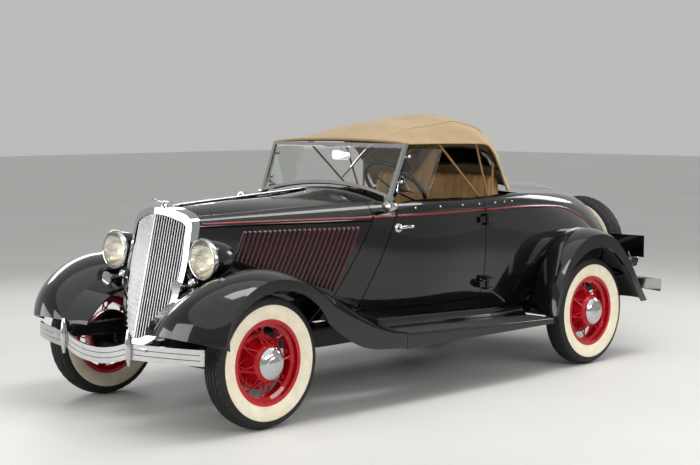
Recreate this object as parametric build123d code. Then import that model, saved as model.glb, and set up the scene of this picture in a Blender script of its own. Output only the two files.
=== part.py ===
# Roadster of the early thirties, built as an assembly of separate named pieces.
# X points forward, Y to the car's left and Z up; lengths are in millimetres.
# The origin lies on the ground below the middle of the car's length.
from build123d import *
import math
import os

# Chassis layout
wheelbase = 2845.0
front_axle_x = 1656.0
front_track = 1402.0
rear_track = 1440.0
running_clear = 0.06        # radial clearance of a turning shaft in its bore
seat_gap = 0.3              # gap between pieces that rest on each other
panel_gap = 6.0             # open gap around a moving panel

# Tyre and wire wheel, radii from the wheel's axis, widths from its middle plane
tyre_radius = 356.0
tyre_half_width = 71.5
tread_half_width = 54.0
shoulder_radius = 338.0
sidewall_radius = 292.0
bead_radius = 216.0
bead_half_width = 50.0
flange_radius = 235.0
flange_thickness = 5.0
rim_well_radius = 196.0
rim_thickness = 6.0
hub_bore_radius = 20.0
hub_bore_depth = 130.0
drum_radius = 150.0
drum_inner_face = -70.0
drum_outer_face = -22.0
bell_radius = 128.0
bell_waist_radius = 110.0
cap_radius = 86.0
cap_edge = 84.0
cap_tip = 115.0
spoke_radius = 4.0
spoke_pairs = 16
spoke_lean = 14.0           # degrees between a spoke's two ends, around the axis

# Body shell
body_wall = 36.0
hood_wall = 8.0
hood_front = 27.5           # at the shell's upper corners, from the front axle
hood_front_z = 1058.0
hood_rear_top = -985.0
hood_rear_bottom = -765.0
hood_side_bottom = 600.0
belt_height = 1042.0
door_front_top = -1185.0
door_front_bottom = -925.0
door_front_top_y = 572.0    # the body's half width at the two ends of that edge
door_front_bottom_y = 495.0
door_bottom = 514.0
door_top = 1130.0
door_rear = 930.0           # from the rear axle, forward positive
cockpit_front = -1195.0
cockpit_rear = 515.0        # from the rear axle
cockpit_half_width = 572.0
dash_half_width = 546.0
firewall = -1015.0
firewall_thickness = 16.0

# Rumble lid in the rear deck, from the rear axle
lid_front = 170.0
lid_rear = -720.0
lid_front_half_width = 345.0
lid_rear_half_width = 285.0
lid_hinge_z = 962.0

# Hinges
door_hinge_y = 662.0
door_hinge_heights = (603.0, 1006.0)
hinge_pin_radius = 6.0
hinge_barrel_radius = 11.0
hood_pin_radius = 4.0
hood_barrel_radius = 8.0
hood_half_gap = 14.0
hood_pin_front = (22.0, 1151.0)     # x from the front axle and z of the ridge pin's ends
hood_pin_rear_z = 1211.0

# Louvres in the hood's sides: tops in a level row, feet along a falling line
louvre_count = 24
louvre_rise = 4.5
louvre_width = 13.0
louvre_top_z = 1003.0
louvre_first_top = -229.0
louvre_last_top = -887.0
louvre_first_foot = (-175.0, 849.0)
louvre_last_foot = (-755.0, 652.0)

# Radiator shell: raked V front
shell_half_width = 260.0
shell_top = 1146.0
shell_bottom = 394.0
shell_tip_x = 327.0         # lowest point, from the front axle
shell_rake = 0.234          # rearward lean per unit of height
shell_sweep = 0.30          # rearward sweep per unit of width
shell_depth = 132.0         # along the middle line
shell_rim = 34.0
grille_bar_pitch = 16.0
grille_bar_width = 5.0
grille_bar_depth = 22.0

# Sheet parts
fender_sheet = 8.0
welt_gap = 0.8              # between a rear fender and the body
fabric = 8.0
fender_outer_y = 850.0

# Frame rails
rail_y = 385.0
rail_width = 58.0
rail_side_rows = [
    # x from the front axle, bottom z, top z
    (450, 425, 485),
    (0, 405, 490),
    (-520, 330, 440),
    (-700, 318, 430),
    (-2480, 318, 430),
    (-2800, 430, 508),
    (-3300, 450, 528),
    (-3640, 450, 520),
]
body_floor = 446.0          # flat underside of the floor pan

# Lamps and bumpers
headlamp_x = 141.0
headlamp_y = 393.0
headlamp_z = 884.0
headlamp_radius = 115.0
headlamp_length = 225.0
bumper_height = 84.0
bumper_thickness = 14.0
bumper_z = 428.0

# Front axle and steering
kingpin_y = 575.0
kingpin_radius = 12.0
eye_flat = 50.0             # level part of the beam beside a kingpin
steering_arm = 140.0
column_bottom = (-930.0, 330.0, 760.0)
wheel_centre = (-1430.0, 330.0, 1205.0)
steering_wheel_radius = 212.0

# Windshield, top frame, lamps, spare
screen_base_x = -1134.0
screen_base_z = 1160.0
screen_half_width = 566.0
screen_height = 342.0
screen_rake = 22.2
screen_rim = 22.0
bow_radius = 10.0
bow_inset = 34.0
bow_drop = 31.0
top_pivot = (-2060.0, 560.0, 1040.0)
headlamp_rim = 14.0
headlamp_post_radius = 16.0
horn_x = 140.0
horn_y = 312.0
horn_z = 753.0
cowl_lamp_x = -1030.0
cowl_lamp_y = 640.0
cowl_lamp_z = 1123.0
bumper_half = 732.0
bumper_dip = 46.0
guard_x = 559.0
guard_y = 294.0
guard_heights = (352.0, 545.0)
guard_radius = 19.0
guard_end_radius = 7.0
spare_x = -948.0
spare_z = 690.0
tail_lamp_x = -755.0
tail_lamp_y = 600.0
tail_lamp_z = 626.0

axle_z = tyre_radius
rear_axle_x = front_axle_x - wheelbase

# Half section of the body: sill, fullest side, top of side, shoulder, crown
# columns: x from axle, sill y, sill z, side y, side z, roll y, roll z, shoulder y, shoulder z, crown z
body_front_rows = [
    (180, 158, 560, 192, 850, 205, 1043, 140, 1092, 1130),
    (40, 190, 560, 228, 850, 240, 1045, 170, 1099, 1140),
    (-400, 300, 520, 352, 850, 362, 1048, 280, 1120, 1168),
    (-950, 480, 446, 548, 830, 552, 1052, 465, 1148, 1200),
    (-1250, 545, 440, 622, 800, 612, 1065, 555, 1148, 1222),
    (-1900, 575, 438, 645, 800, 634, 1075, 596, 1142, 1160),
]
body_rear_rows = [
    (395, 560, 446, 632, 800, 600, 1085, 548, 1145, 1172),
    (-55, 535, 570, 592, 800, 545, 1005, 470, 1115, 1180),
    (-405, 475, 565, 520, 740, 478, 890, 395, 1045, 1140),
    (-655, 400, 560, 430, 680, 410, 770, 330, 920, 1020),
    (-835, 330, 565, 352, 640, 345, 680, 280, 770, 830),
]

# Fender sections in planes through a line along Y, leaning by an angle from forward
# columns: origin x and z, angle, then y and r of inner edge, valley, crest and fold, then lip r
front_fender_rows = [
    (0, 356, 18, 268, 450, 400, 514, 540, 548, 838, 378, 345),
    (0, 356, 45, 262, 400, 420, 452, 600, 530, 846, 424, 392),
    (0, 356, 70, 264, 352, 430, 402, 630, 496, 849, 446, 386),
    (0, 356, 95, 268, 336, 430, 392, 640, 488, 850, 447, 388),
    (0, 356, 122, 318, 376, 450, 420, 640, 490, 850, 452, 394),
    (-120, 356, 140, 392, 458, 500, 478, 640, 492, 850, 392, 296),
    (-640, 0, 92, 452, 622, 545, 610, 665, 586, 850, 498, 368),
    (-800, 0, 90, 530, 555, 610, 537, 700, 505, 850, 447, 345),
    (-975, 0, 90, 600, 478, 650, 452, 715, 434, 850, 414, 326),
]
rear_fender_rows = [
    (0, 356, 2, 610, 478, 665, 487, 720, 492, 850, 478, 446),
    (0, 356, 30, 600, 455, 655, 476, 715, 490, 850, 470, 426),
    (0, 356, 60, 585, 488, 645, 508, 705, 520, 850, 502, 426),
    (0, 356, 90, 560, 528, 630, 540, 700, 545, 850, 512, 424),
    (0, 356, 120, 515, 556, 600, 558, 690, 552, 850, 478, 404),
    (0, 356, 145, 470, 560, 575, 564, 680, 560, 850, 462, 402),
    (0, 356, 162, 450, 590, 560, 600, 670, 600, 848, 486, 428),
    (0, 356, 178, 440, 635, 550, 655, 660, 665, 830, 585, 520),
]

# Soft top sections in planes through a line along Y
# columns: origin x from front axle, angle, half width, edge distance, crown distance
top_origin_z = 1150.0
soft_top_rows = [
    (-1268, 90, 578, 332, 352),
    (-1560, 90, 602, 330, 440),
    (-1900, 90, 608, 322, 492),
    (-1900, 112, 606, 302, 530),
    (-1900, 132, 600, 268, 600),
    (-1900, 158, 596, 258, 600),
    (-1900, 176.6, 590, 292, 686),
]
# Shape of each arch: shares of its half width and of its rise above the edges
top_flank = 0.72
top_flank_rise = 0.56
top_hip = 0.91
top_hip_rise = 0.22

os.makedirs("parts", exist_ok=True)


def fx(distance):
    return front_axle_x + distance


def rx(distance):
    return rear_axle_x + distance


def line(start, end):
    return Edge.make_line(start, end)


def arc(start, middle, end):
    return Edge.make_three_point_arc(start, middle, end)


def split_arc(start, middle, end):
    # The same arc in two equal pieces, which lets a loft follow it more closely.
    whole = arc(start, middle, end)
    return [whole.trim(0, 0.5), whole.trim(0.5, 1)]


def loft_in_two(wires, shared):
    # Two lofts that meet in one shared section, joined to a single solid.
    return Solid.make_loft(wires[:shared + 1]).fuse(Solid.make_loft(wires[shared:]))


def prism(points, along):
    return Solid.extrude(Face(Wire.make_polygon(points, close=True)), Vector(*along))


def block(x0, x1, y0, y1, z0, z1):
    size = Box(abs(x1 - x0), abs(y1 - y0), abs(z1 - z0))
    return Pos((x0 + x1) / 2, (y0 + y1) / 2, (z0 + z1) / 2) * size


def rod(start, end, radius):
    reach = Vector(*end) - Vector(*start)
    return Solid.make_cylinder(radius, reach.length, Plane(origin=start, z_dir=reach))


def turned(edges, axis=Axis.Y):
    return Solid.revolve(Face(Wire(edges)), 360, axis)


def dome(edge_radius, edge_at, tip_at):
    # Half-way point of a dome's arc: its centre lies on the axis that it is turned about.
    rise = abs(tip_at - edge_at)
    sphere = (edge_radius ** 2 + rise ** 2) / (2 * rise)
    drop = sphere - math.sqrt(sphere ** 2 - edge_radius ** 2 / 4)
    middle_at = tip_at - math.copysign(drop, tip_at - edge_at)
    return edge_radius / 2, middle_at


def ring_profile(points):
    return Wire.make_polygon([(r, w, 0) for r, w in points], close=True)


def opposite(shape):
    return shape.mirror(Plane.XZ)


def save(name, *shapes):
    solids = []
    for shape in shapes:
        solids.extend(shape.solids())
    export_step(Compound(solids) if len(solids) > 1 else solids[0], f"parts/{name}.step")


def tyre():
    # Bead seat, bead side, bulged sidewall and slightly crowned tread, turned about the axle.
    bead = bead_radius + seat_gap
    top = flange_radius + 4
    half = [
        ((bead, -bead_half_width), (bead, bead_half_width)),
        ((bead, bead_half_width), (top, bead_half_width)),
    ]
    edges = [line((*a, 0), (*b, 0)) for a, b in half]
    edges.append(arc((top, bead_half_width, 0), (sidewall_radius, tyre_half_width, 0),
                     (shoulder_radius, tread_half_width, 0)))
    edges.append(arc((shoulder_radius, tread_half_width, 0), (tyre_radius, 0, 0),
                     (shoulder_radius, -tread_half_width, 0)))
    edges.append(arc((shoulder_radius, -tread_half_width, 0), (sidewall_radius, -tyre_half_width, 0),
                     (top, -bead_half_width, 0)))
    edges.append(line((top, -bead_half_width, 0), (bead, -bead_half_width, 0)))
    return turned(edges)


def wheel_rim():
    # Drop-centre rim: flanges just outside the tyre's beads, well between them.
    inner = bead_half_width + 0.4
    outer = inner + flange_thickness
    floor = bead_radius - rim_thickness
    well_floor = rim_well_radius - rim_thickness
    half = [
        (well_floor, 20), (floor, 28), (floor, outer), (flange_radius, outer),
        (flange_radius, inner), (bead_radius, inner), (bead_radius, 24), (rim_well_radius, 18),
    ]
    points = half + [(r, -w) for r, w in reversed(half)]
    return Solid.revolve(Face(ring_profile(points)), 360, Axis.Y)


def wheel_hub():
    # Brake drum, flared bell and domed cap in one turning, with a blind bore for the axle.
    bore = hub_bore_radius
    end = drum_inner_face + hub_bore_depth
    middle_radius, middle = dome(cap_radius, cap_edge, cap_tip)
    edges = [
        line((bore, drum_inner_face, 0), (drum_radius, drum_inner_face, 0)),
        line((drum_radius, drum_inner_face, 0), (drum_radius, drum_outer_face, 0)),
        line((drum_radius, drum_outer_face, 0), (bell_radius, drum_outer_face, 0)),
        arc((bell_radius, drum_outer_face, 0), (bell_waist_radius, 34, 0), (cap_radius, cap_edge - 8, 0)),
        line((cap_radius, cap_edge - 8, 0), (cap_radius, cap_edge, 0)),
        arc((cap_radius, cap_edge, 0), (middle_radius, middle, 0), (0, cap_tip, 0)),
        line((0, cap_tip, 0), (0, end, 0)),
        line((0, end, 0), (bore, end, 0)),
        line((bore, end, 0), (bore, drum_inner_face, 0)),
    ]
    return turned(edges)


def wheel():
    # Spokes in two crossed sets: long ones from the bell's front, short ones from its back.
    spoke_sets = [
        # hub radius, hub width, rim radius, rim width
        (94, 58, rim_well_radius - 3, -10),
        (122, -8, rim_well_radius - 3, 12),
    ]
    spokes = []
    for set_number, (hub_r, hub_w, rim_r, rim_w) in enumerate(spoke_sets):
        for number in range(spoke_pairs):
            turn = 360 / spoke_pairs * (number + set_number / 2)
            lean = spoke_lean if number % 2 else -spoke_lean
            a = math.radians(turn)
            b = math.radians(turn + lean)
            start = ((hub_r - 8) * math.cos(a), hub_w, (hub_r - 8) * math.sin(a))
            end = (rim_r * math.cos(b), rim_w, rim_r * math.sin(b))
            spokes.append(rod(start, end, spoke_radius))
    return wheel_hub().fuse(wheel_rim(), *spokes)


def body_section(row, axle_x, inset):
    x, sill_y, sill_z, side_y, side_z, roll_y, roll_z, shoulder_y, shoulder_z, crown_z = row
    x = axle_x + x
    low = (sill_y - inset, sill_z + inset)
    side = (side_y - inset, side_z)
    roll = (roll_y - inset, roll_z - inset * 0.2)
    shoulder = (shoulder_y - inset * 0.6, shoulder_z - inset * 0.9)
    corner = (0.35 * shoulder[0] + 0.65 * roll[0], 0.55 * shoulder[1] + 0.45 * roll[1])
    corner = (corner[0] + 6, corner[1] + 8)

    def at(point, sign):
        return (x, sign * point[0], point[1])

    crown = (x, 0, crown_z - inset)
    return Wire([
        line(at(low, -1), at(low, 1)),
        arc(at(low, 1), at(side, 1), at(roll, 1)),
        arc(at(roll, 1), at(corner, 1), at(shoulder, 1)),
        arc(at(shoulder, 1), crown, at(shoulder, -1)),
        arc(at(shoulder, -1), at(corner, -1), at(roll, -1)),
        arc(at(roll, -1), at(side, -1), at(low, -1)),
    ])


def body_form(inset, front_rows, rear_rows):
    wires = [body_section(row, front_axle_x, inset) for row in front_rows]
    wires += [body_section(row, rear_axle_x, inset) for row in rear_rows]
    return Solid.make_loft(wires)


def side_prism(points, y0, y1):
    # Outline in the side view carried across the car from y0 to y1.
    return prism([(x, y0, z) for x, z in points], (0, y1 - y0, 0))


def plan_prism(points, z0, z1):
    return prism([(x, y, z0) for x, y in points], (0, 0, z1 - z0))


def edge_line(top_x, bottom_x, bottom_z, top_z, shift):
    # Straight panel edge in the side view, carried on beyond both of its ends.
    slope = (top_x - bottom_x) / (top_z - bottom_z)
    return [(fx(bottom_x + slope * (z - bottom_z)) + shift, z) for z in (200, 1500)]


def hood_front_edge(shift):
    return [(fx(hood_front + shell_rake * (hood_front_z - z)) + shift, z) for z in (200, 1500)]


def hood_rear_edge(shift):
    low = edge_line(hood_rear_top, hood_rear_bottom, hood_side_bottom, belt_height, shift)[0]
    corner = (fx(hood_rear_top) + shift, belt_height)
    return [low, corner, (corner[0], 1500)]


def door_sweep(grow):
    # Cone round the left door's hinge line, on which its front edge lies and swings clear of the cowl.
    pin = hinge_axis(200)
    low = math.hypot(fx(door_front_bottom) - pin.X, door_front_bottom_y - pin.Y)
    high = math.hypot(fx(door_front_top) - pin.X, door_front_top_y - pin.Y)
    slope = (high - low) / (door_top - door_bottom)
    base = low + slope * (200 - door_bottom) + grow
    return Solid.make_cone(base, base + slope * 1100, 1100, Plane(origin=pin))


def body_shell():
    rear_rows = [list(row) for row in body_rear_rows]
    rear_rows[-1][0] += body_wall
    inside = body_form(body_wall, body_front_rows[2:], rear_rows)
    outside = body_form(0, body_front_rows, body_rear_rows)
    cockpit = block(fx(cockpit_front), rx(cockpit_rear), -cockpit_half_width, cockpit_half_width, 1080, 1400)
    below = block(fx(0), rx(-1100), -900, 900, 0, body_floor)
    return outside, inside, outside - inside - cockpit - below


def hood_panels(outside):
    shell = outside - body_form(hood_wall, body_front_rows[:5], [])
    region = side_prism(hood_front_edge(0) + hood_rear_edge(0)[::-1], -900, 900)
    shell = shell & region
    tops = []
    for side in (1, -1):
        half = shell & block(fx(300), fx(-1200), side * hood_half_gap, side * 900, belt_height, 1400)
        tops.append(half)
    sides = []
    for side in (1, -1):
        band = block(fx(300), fx(-1200), side * 60, side * 900, hood_side_bottom, belt_height - panel_gap)
        sides.append((shell & band) + louvres(side))
    return tops, sides


def louvres(side):
    # Slanted raised strips that follow the hood's side, from the middle of its wall outward.
    strips = []
    for number in range(louvre_count):
        share = number / (louvre_count - 1)
        top_x = fx(louvre_first_top + share * (louvre_last_top - louvre_first_top))
        foot_x = fx(louvre_first_foot[0] + share * (louvre_last_foot[0] - louvre_first_foot[0]))
        foot_z = louvre_first_foot[1] + share * (louvre_last_foot[1] - louvre_first_foot[1])
        strips.append(side_prism([(top_x, louvre_top_z), (top_x - louvre_width, louvre_top_z),
                                  (foot_x - louvre_width, foot_z), (foot_x, foot_z)], side * 150, side * 700))
    swollen = body_form(-louvre_rise, body_front_rows[:5], [])
    return (Compound(strips) & swollen) - body_form(hood_wall / 2, body_front_rows[:5], [])


def hood_hinge():
    # Pin along the hood's ridge, from the radiator shell to the cowl.
    front = Vector(fx(hood_pin_front[0]), 0, hood_pin_front[1])
    rear = Vector(fx(hood_rear_top) - panel_gap + seat_gap, 0, hood_pin_rear_z)
    return front, rear


def add_hood_barrels(top, side):
    # Three barrels on the ridge pin, each with a leaf lapped into the panel's edge.
    front, rear = hood_hinge()
    along = (rear - front).normalized()
    length = (rear - front).length
    shape = top
    for number in range(3):
        start = front + along * (length * (0.06 + 0.32 * number + (0.16 if side < 0 else 0)))
        end = start + along * 70
        barrel = rod(start, end, hood_barrel_radius)
        leaf = prism([start + Vector(0, 0, -6), end + Vector(0, 0, -6), end + Vector(0, 0, -14),
                      start + Vector(0, 0, -14)], (0, side * (hood_half_gap + 12), 0))
        shape = shape + barrel + leaf
    return shape - rod(front, rear, hood_pin_radius + running_clear)


def cowl(outside, inside, shell):
    back = rx(door_rear) + 300
    region = side_prism(hood_rear_edge(-panel_gap) + [(back, 1500), (back, 200)], -900, 900)
    above = block(fx(0), rx(0), -900, 900, door_bottom - panel_gap + seat_gap, 1500)
    swing = door_sweep(panel_gap)
    skin = (shell & region & above) - swing - opposite(swing)
    wall = inside & block(fx(firewall), fx(firewall - firewall_thickness), -900, 900, door_bottom, 1500)
    dash = inside & block(fx(cockpit_front + 20), fx(cockpit_front), -dash_half_width, dash_half_width,
                          1010, 1500)
    tube = rod(column_start(), column_end(), 22 + seat_gap)
    return skin + wall + dash - tube - engine_bay()


def engine_bay():
    # Space left open ahead of the firewall for the engine's rear end and the gearbox.
    return block(fx(-300), fx(firewall + 5), -265, 265, 300, 980)


def floor_pan(shell):
    region = side_prism(hood_rear_edge(-panel_gap) + [(rx(door_rear), 1500), (rx(door_rear), 200)], -900, 900)
    low = block(fx(0), rx(0), -900, 900, 0, door_bottom - panel_gap)
    riser = block(fx(-1720), fx(-2095), -470, 470, 490, 640)
    plinth = block(fx(-1720), rx(door_rear), -470, 470, 470, 490)
    return (shell & region & low) + riser + plinth - engine_bay()


def door(shell):
    region = block(fx(0), rx(door_rear) + panel_gap, 300, 900, door_bottom, 1500)
    cockpit = block(fx(cockpit_front + 60), rx(cockpit_rear), 0, cockpit_half_width, 1080, 1400)
    panel = (shell & region & door_sweep(0)) - cockpit
    for height in door_hinge_heights:
        pin = hinge_axis(height)
        barrel = rod(pin + Vector(0, 0, -18), pin + Vector(0, 0, 18), hinge_barrel_radius)
        leaf = block(pin.X, pin.X + 70, door_hinge_y - 45, door_hinge_y - 3, height - 18, height + 18)
        panel = panel + barrel + leaf
        panel = panel - rod(pin + Vector(0, 0, -30), pin + Vector(0, 0, 30), hinge_pin_radius + running_clear)
    return panel


def hinge_axis(height):
    return Vector(rx(door_rear) + panel_gap / 2, door_hinge_y, height)


def lid_outline(grow):
    return [
        (rx(lid_front) + grow, lid_front_half_width + grow),
        (rx(lid_rear) - grow, lid_rear_half_width + grow),
        (rx(lid_rear) - grow, -lid_rear_half_width - grow),
        (rx(lid_front) + grow, -lid_front_half_width - grow),
    ]


def lid_axis():
    return Vector(rx(lid_rear) - panel_gap / 2, 0, lid_hinge_z)


def rear_body(shell):
    back = block(rx(door_rear), rx(-1100), -900, 900, 0, 1500)
    skin = (shell & back) - plan_prism(lid_outline(panel_gap), 720, 1500)
    for side in (1, -1):
        for height in door_hinge_heights:
            pin = hinge_axis(height)
            pin = Vector(pin.X, side * pin.Y, height)
            post = rod(pin + Vector(0, 0, -36), pin + Vector(0, 0, 36), hinge_pin_radius)
            skin = skin + post
            for low, high in ((-36, -23), (23, 36)):
                lug = rod(pin + Vector(0, 0, low), pin + Vector(0, 0, high), hinge_barrel_radius)
                leaf = block(pin.X - 70, pin.X, side * (door_hinge_y - 45), side * (door_hinge_y - 3),
                             height + low, height + high)
                skin = skin + lug + (leaf - block(rx(door_rear), rx(door_rear) + 90, -900, 900, 0, 1500))
        hinge = lid_axis() + Vector(0, side * 150, 0)
        skin = skin + rod(hinge + Vector(0, -40, 0), hinge + Vector(0, 40, 0), hinge_pin_radius)
        for low, high in ((-40, -25), (25, 40)):
            lug = block(hinge.X - 60, hinge.X + 8, hinge.Y + low, hinge.Y + high, hinge.Z - 70, hinge.Z + 10)
            lug = lug - plan_prism([(rx(lid_rear) - 1, 500), (rx(lid_rear) - 1, -500), (rx(0), -500),
                                    (rx(0), 500)], 0, 1500)
            skin = skin + lug
    return skin


def rumble_lid(shell):
    lid = shell & plan_prism(lid_outline(0), 720, 1500)
    for side in (1, -1):
        hinge = lid_axis() + Vector(0, side * 150, 0)
        barrel = rod(hinge + Vector(0, -20, 0), hinge + Vector(0, 20, 0), hinge_barrel_radius)
        leaf = block(hinge.X, hinge.X + 60, hinge.Y - 20, hinge.Y + 20, hinge.Z - 20, hinge.Z + 6)
        lid = lid + barrel + leaf
        lid = lid - rod(hinge + Vector(0, -46, 0), hinge + Vector(0, 46, 0), hinge_pin_radius + running_clear)
    return lid


def fender(rows, axle_x, shared):
    # Slope from the inner edge to the valley, crown arc to the fold, flange down to the lip.
    wires = []
    for x, z, angle, inner_y, inner_r, valley_y, valley_r, crest_y, crest_r, fold_y, fold_r, lip_r in rows:
        ahead = math.cos(math.radians(angle))
        up = math.sin(math.radians(angle))
        sheet = fender_sheet

        def at(y, r):
            return (axle_x + x + r * ahead, y, z + r * up)

        wires.append(Wire([
            line(at(inner_y, inner_r), at(valley_y, valley_r)),
            arc(at(valley_y, valley_r), at(crest_y, crest_r), at(fold_y, fold_r)),
            line(at(fold_y, fold_r), at(fold_y, lip_r)),
            line(at(fold_y, lip_r), at(fold_y - sheet, lip_r)),
            line(at(fold_y - sheet, lip_r), at(fold_y - sheet, fold_r - sheet)),
            arc(at(fold_y - sheet, fold_r - sheet), at(crest_y, crest_r - sheet), at(valley_y, valley_r - sheet)),
            line(at(valley_y, valley_r - sheet), at(inner_y, inner_r - sheet)),
            line(at(inner_y, inner_r - sheet), at(inner_y, inner_r)),
        ]))
    return loft_in_two(wires, shared)


def front_fender():
    sheet = fender(front_fender_rows, front_axle_x, 5)
    brace = rod((fx(-560), rail_y, 400), (fx(-560), 640, 646), 6)
    return sheet + (brace - block(fx(-700), fx(-400), 0, rail_y + rail_width / 2, 0, 900))


def rear_fender():
    # The inner edge is trimmed to the body's side, a hair clear of it.
    sheet = fender(rear_fender_rows, rear_axle_x, 4) - body_form(-welt_gap, body_front_rows, body_rear_rows)
    sheet = sheet.solids().sort_by(SortBy.VOLUME)[-1]
    brace = rod((rx(-455), rail_y, 492), (rx(-572), 650, 545), 9)
    return sheet + (brace - block(rx(-700), rx(-300), 0, rail_y + rail_width / 2, 0, 900))


def running_board():
    # Board with a rolled outer edge and an apron sweeping up to the body's sill.
    wires = []
    for x, top, bottom in ((fx(-975) - panel_gap / 2, 413, 326), (rx(498), 364, 330)):
        apron = top + 62
        wires.append(Wire([
            arc((x, 596, apron), (x, 612, top + 16), (x, 650, top)),
            line((x, 650, top), (x, 838, top)),
            arc((x, 838, top), (x, 847, top - 4), (x, 850, top - 12)),
            line((x, 850, top - 12), (x, 850, bottom)),
            line((x, 850, bottom), (x, 842, bottom)),
            line((x, 842, bottom), (x, 842, top - 20)),
            line((x, 842, top - 20), (x, 640, top - 20)),
            arc((x, 640, top - 20), (x, 598, top + 10), (x, 584, apron)),
            line((x, 584, apron), (x, 596, apron)),
        ]))
    board = Solid.make_loft(wires, True)
    for distance in (-1120, -1680, -2240):
        under = 393 - 49 * (distance + 975) / (rx(498) - fx(-975))
        bracket = block(fx(distance), fx(distance) - 40, rail_y + rail_width / 2, 700, 336, 343)
        web = block(fx(distance), fx(distance) - 40, 660, 700, 336, under + 6)
        board = board + bracket + web
    return board


def column_start():
    return Vector(fx(column_bottom[0]), column_bottom[1], column_bottom[2])


def column_end():
    return Vector(fx(wheel_centre[0]), wheel_centre[1], wheel_centre[2])


def outline_face(points_and_arcs, x):
    edges = []
    for item in points_and_arcs:
        points = [(x, y, z) for y, z in item]
        edges.append(line(*points) if len(points) == 2 else arc(*points))
    return Face(Wire(edges))


def shell_outline(inset):
    # Front view of the radiator shell: crowned top, nearly upright sides, pointed foot.
    w = shell_half_width - inset
    top = shell_top - inset
    foot = shell_bottom + inset * 1.3
    corner = (w - 8, 1046)
    shoulder = (w - 70, 1116 - inset)
    hip = (w, 900)
    knee = (w * 0.53 - inset * 0.3, 446 + inset)
    half = [
        (shoulder, (w - 28, 1090 - inset * 0.7), corner),
        (corner, hip),
        (hip, (w - 38, 620 + inset * 0.2), knee),
        (knee, (w * 0.27, 408 + inset * 1.2), (0, foot)),
    ]
    left = [tuple((-y, z) for y, z in reversed(item)) for item in reversed(half)]
    crown = ((-shoulder[0], shoulder[1]), (0, top), shoulder)
    return half + left + [crown]


def raked(points, z0=300, z1=1250):
    # Plan outline at height z0, carried upward along the nose's rearward lean.
    rise = z1 - z0
    return prism([(x, y, z0) for x, y in points], (-shell_rake * rise, 0, rise))


def nose_slab(front, back, flat_back):
    # Slab behind the V-shaped nose, from one setback to another.
    z0 = 300
    tip = fx(shell_tip_x) + shell_rake * (shell_bottom - z0)
    sweep = shell_sweep * 400
    points = [(tip - front - sweep, -400), (tip - front, 0), (tip - front - sweep, 400)]
    if flat_back:
        points += [(tip - back, 400), (tip - back, -400)]
    else:
        points += [(tip - back - sweep, 400), (tip - back, 0), (tip - back - sweep, -400)]
    return raked(points, z0)


def along_x(points_and_arcs):
    return Solid.extrude(outline_face(points_and_arcs, fx(-200)), Vector(800, 0, 0))


def radiator_shell():
    ring = along_x(shell_outline(0)) - along_x(shell_outline(shell_rim))
    return ring & nose_slab(0, shell_depth, True)


def grille_bars():
    opening = along_x(shell_outline(shell_rim + seat_gap))
    count = int((shell_half_width - shell_rim) / grille_bar_pitch)
    slats = []
    for number in range(-count, count + 1):
        y = number * grille_bar_pitch
        half = grille_bar_width if number == 0 else grille_bar_width / 2
        slats.append(block(fx(-300), fx(600), y - half, y + half, 300, 1300))
    bars = Compound(slats) & (opening & nose_slab(8, 8 + grille_bar_depth, False))
    ties = opening & nose_slab(8 + grille_bar_depth - 4, 14 + grille_bar_depth, False)
    solid = None
    for height in (560, 760, 960):
        tie = ties & block(fx(-300), fx(600), -400, 400, height - 6, height + 6)
        solid = tie if solid is None else solid + tie
    return solid + bars


def frame_rail():
    top = [(fx(x), high) for x, low, high in rail_side_rows]
    bottom = [(fx(x), low) for x, low, high in reversed(rail_side_rows)]
    rail = side_prism(top + bottom, rail_y - rail_width / 2, rail_y + rail_width / 2)
    for distance in (-1000, -1550, -2150):
        pad = block(fx(distance), fx(distance) - 60, rail_y - 25, rail_y + 25, 430, body_floor)
        rail = rail + pad
    return rail


def cross_members():
    inner = rail_y - rail_width / 2
    members = []
    for distance, low, high, half_depth in ((40, 412, 470, 35), (-950, 325, 400, 35),
                                            (-2150, 395, 430, 30), (-2900, 455, 505, 35)):
        members.append(block(fx(distance) - half_depth, fx(distance) + half_depth, -inner, inner, low, high))
    return members


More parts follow.
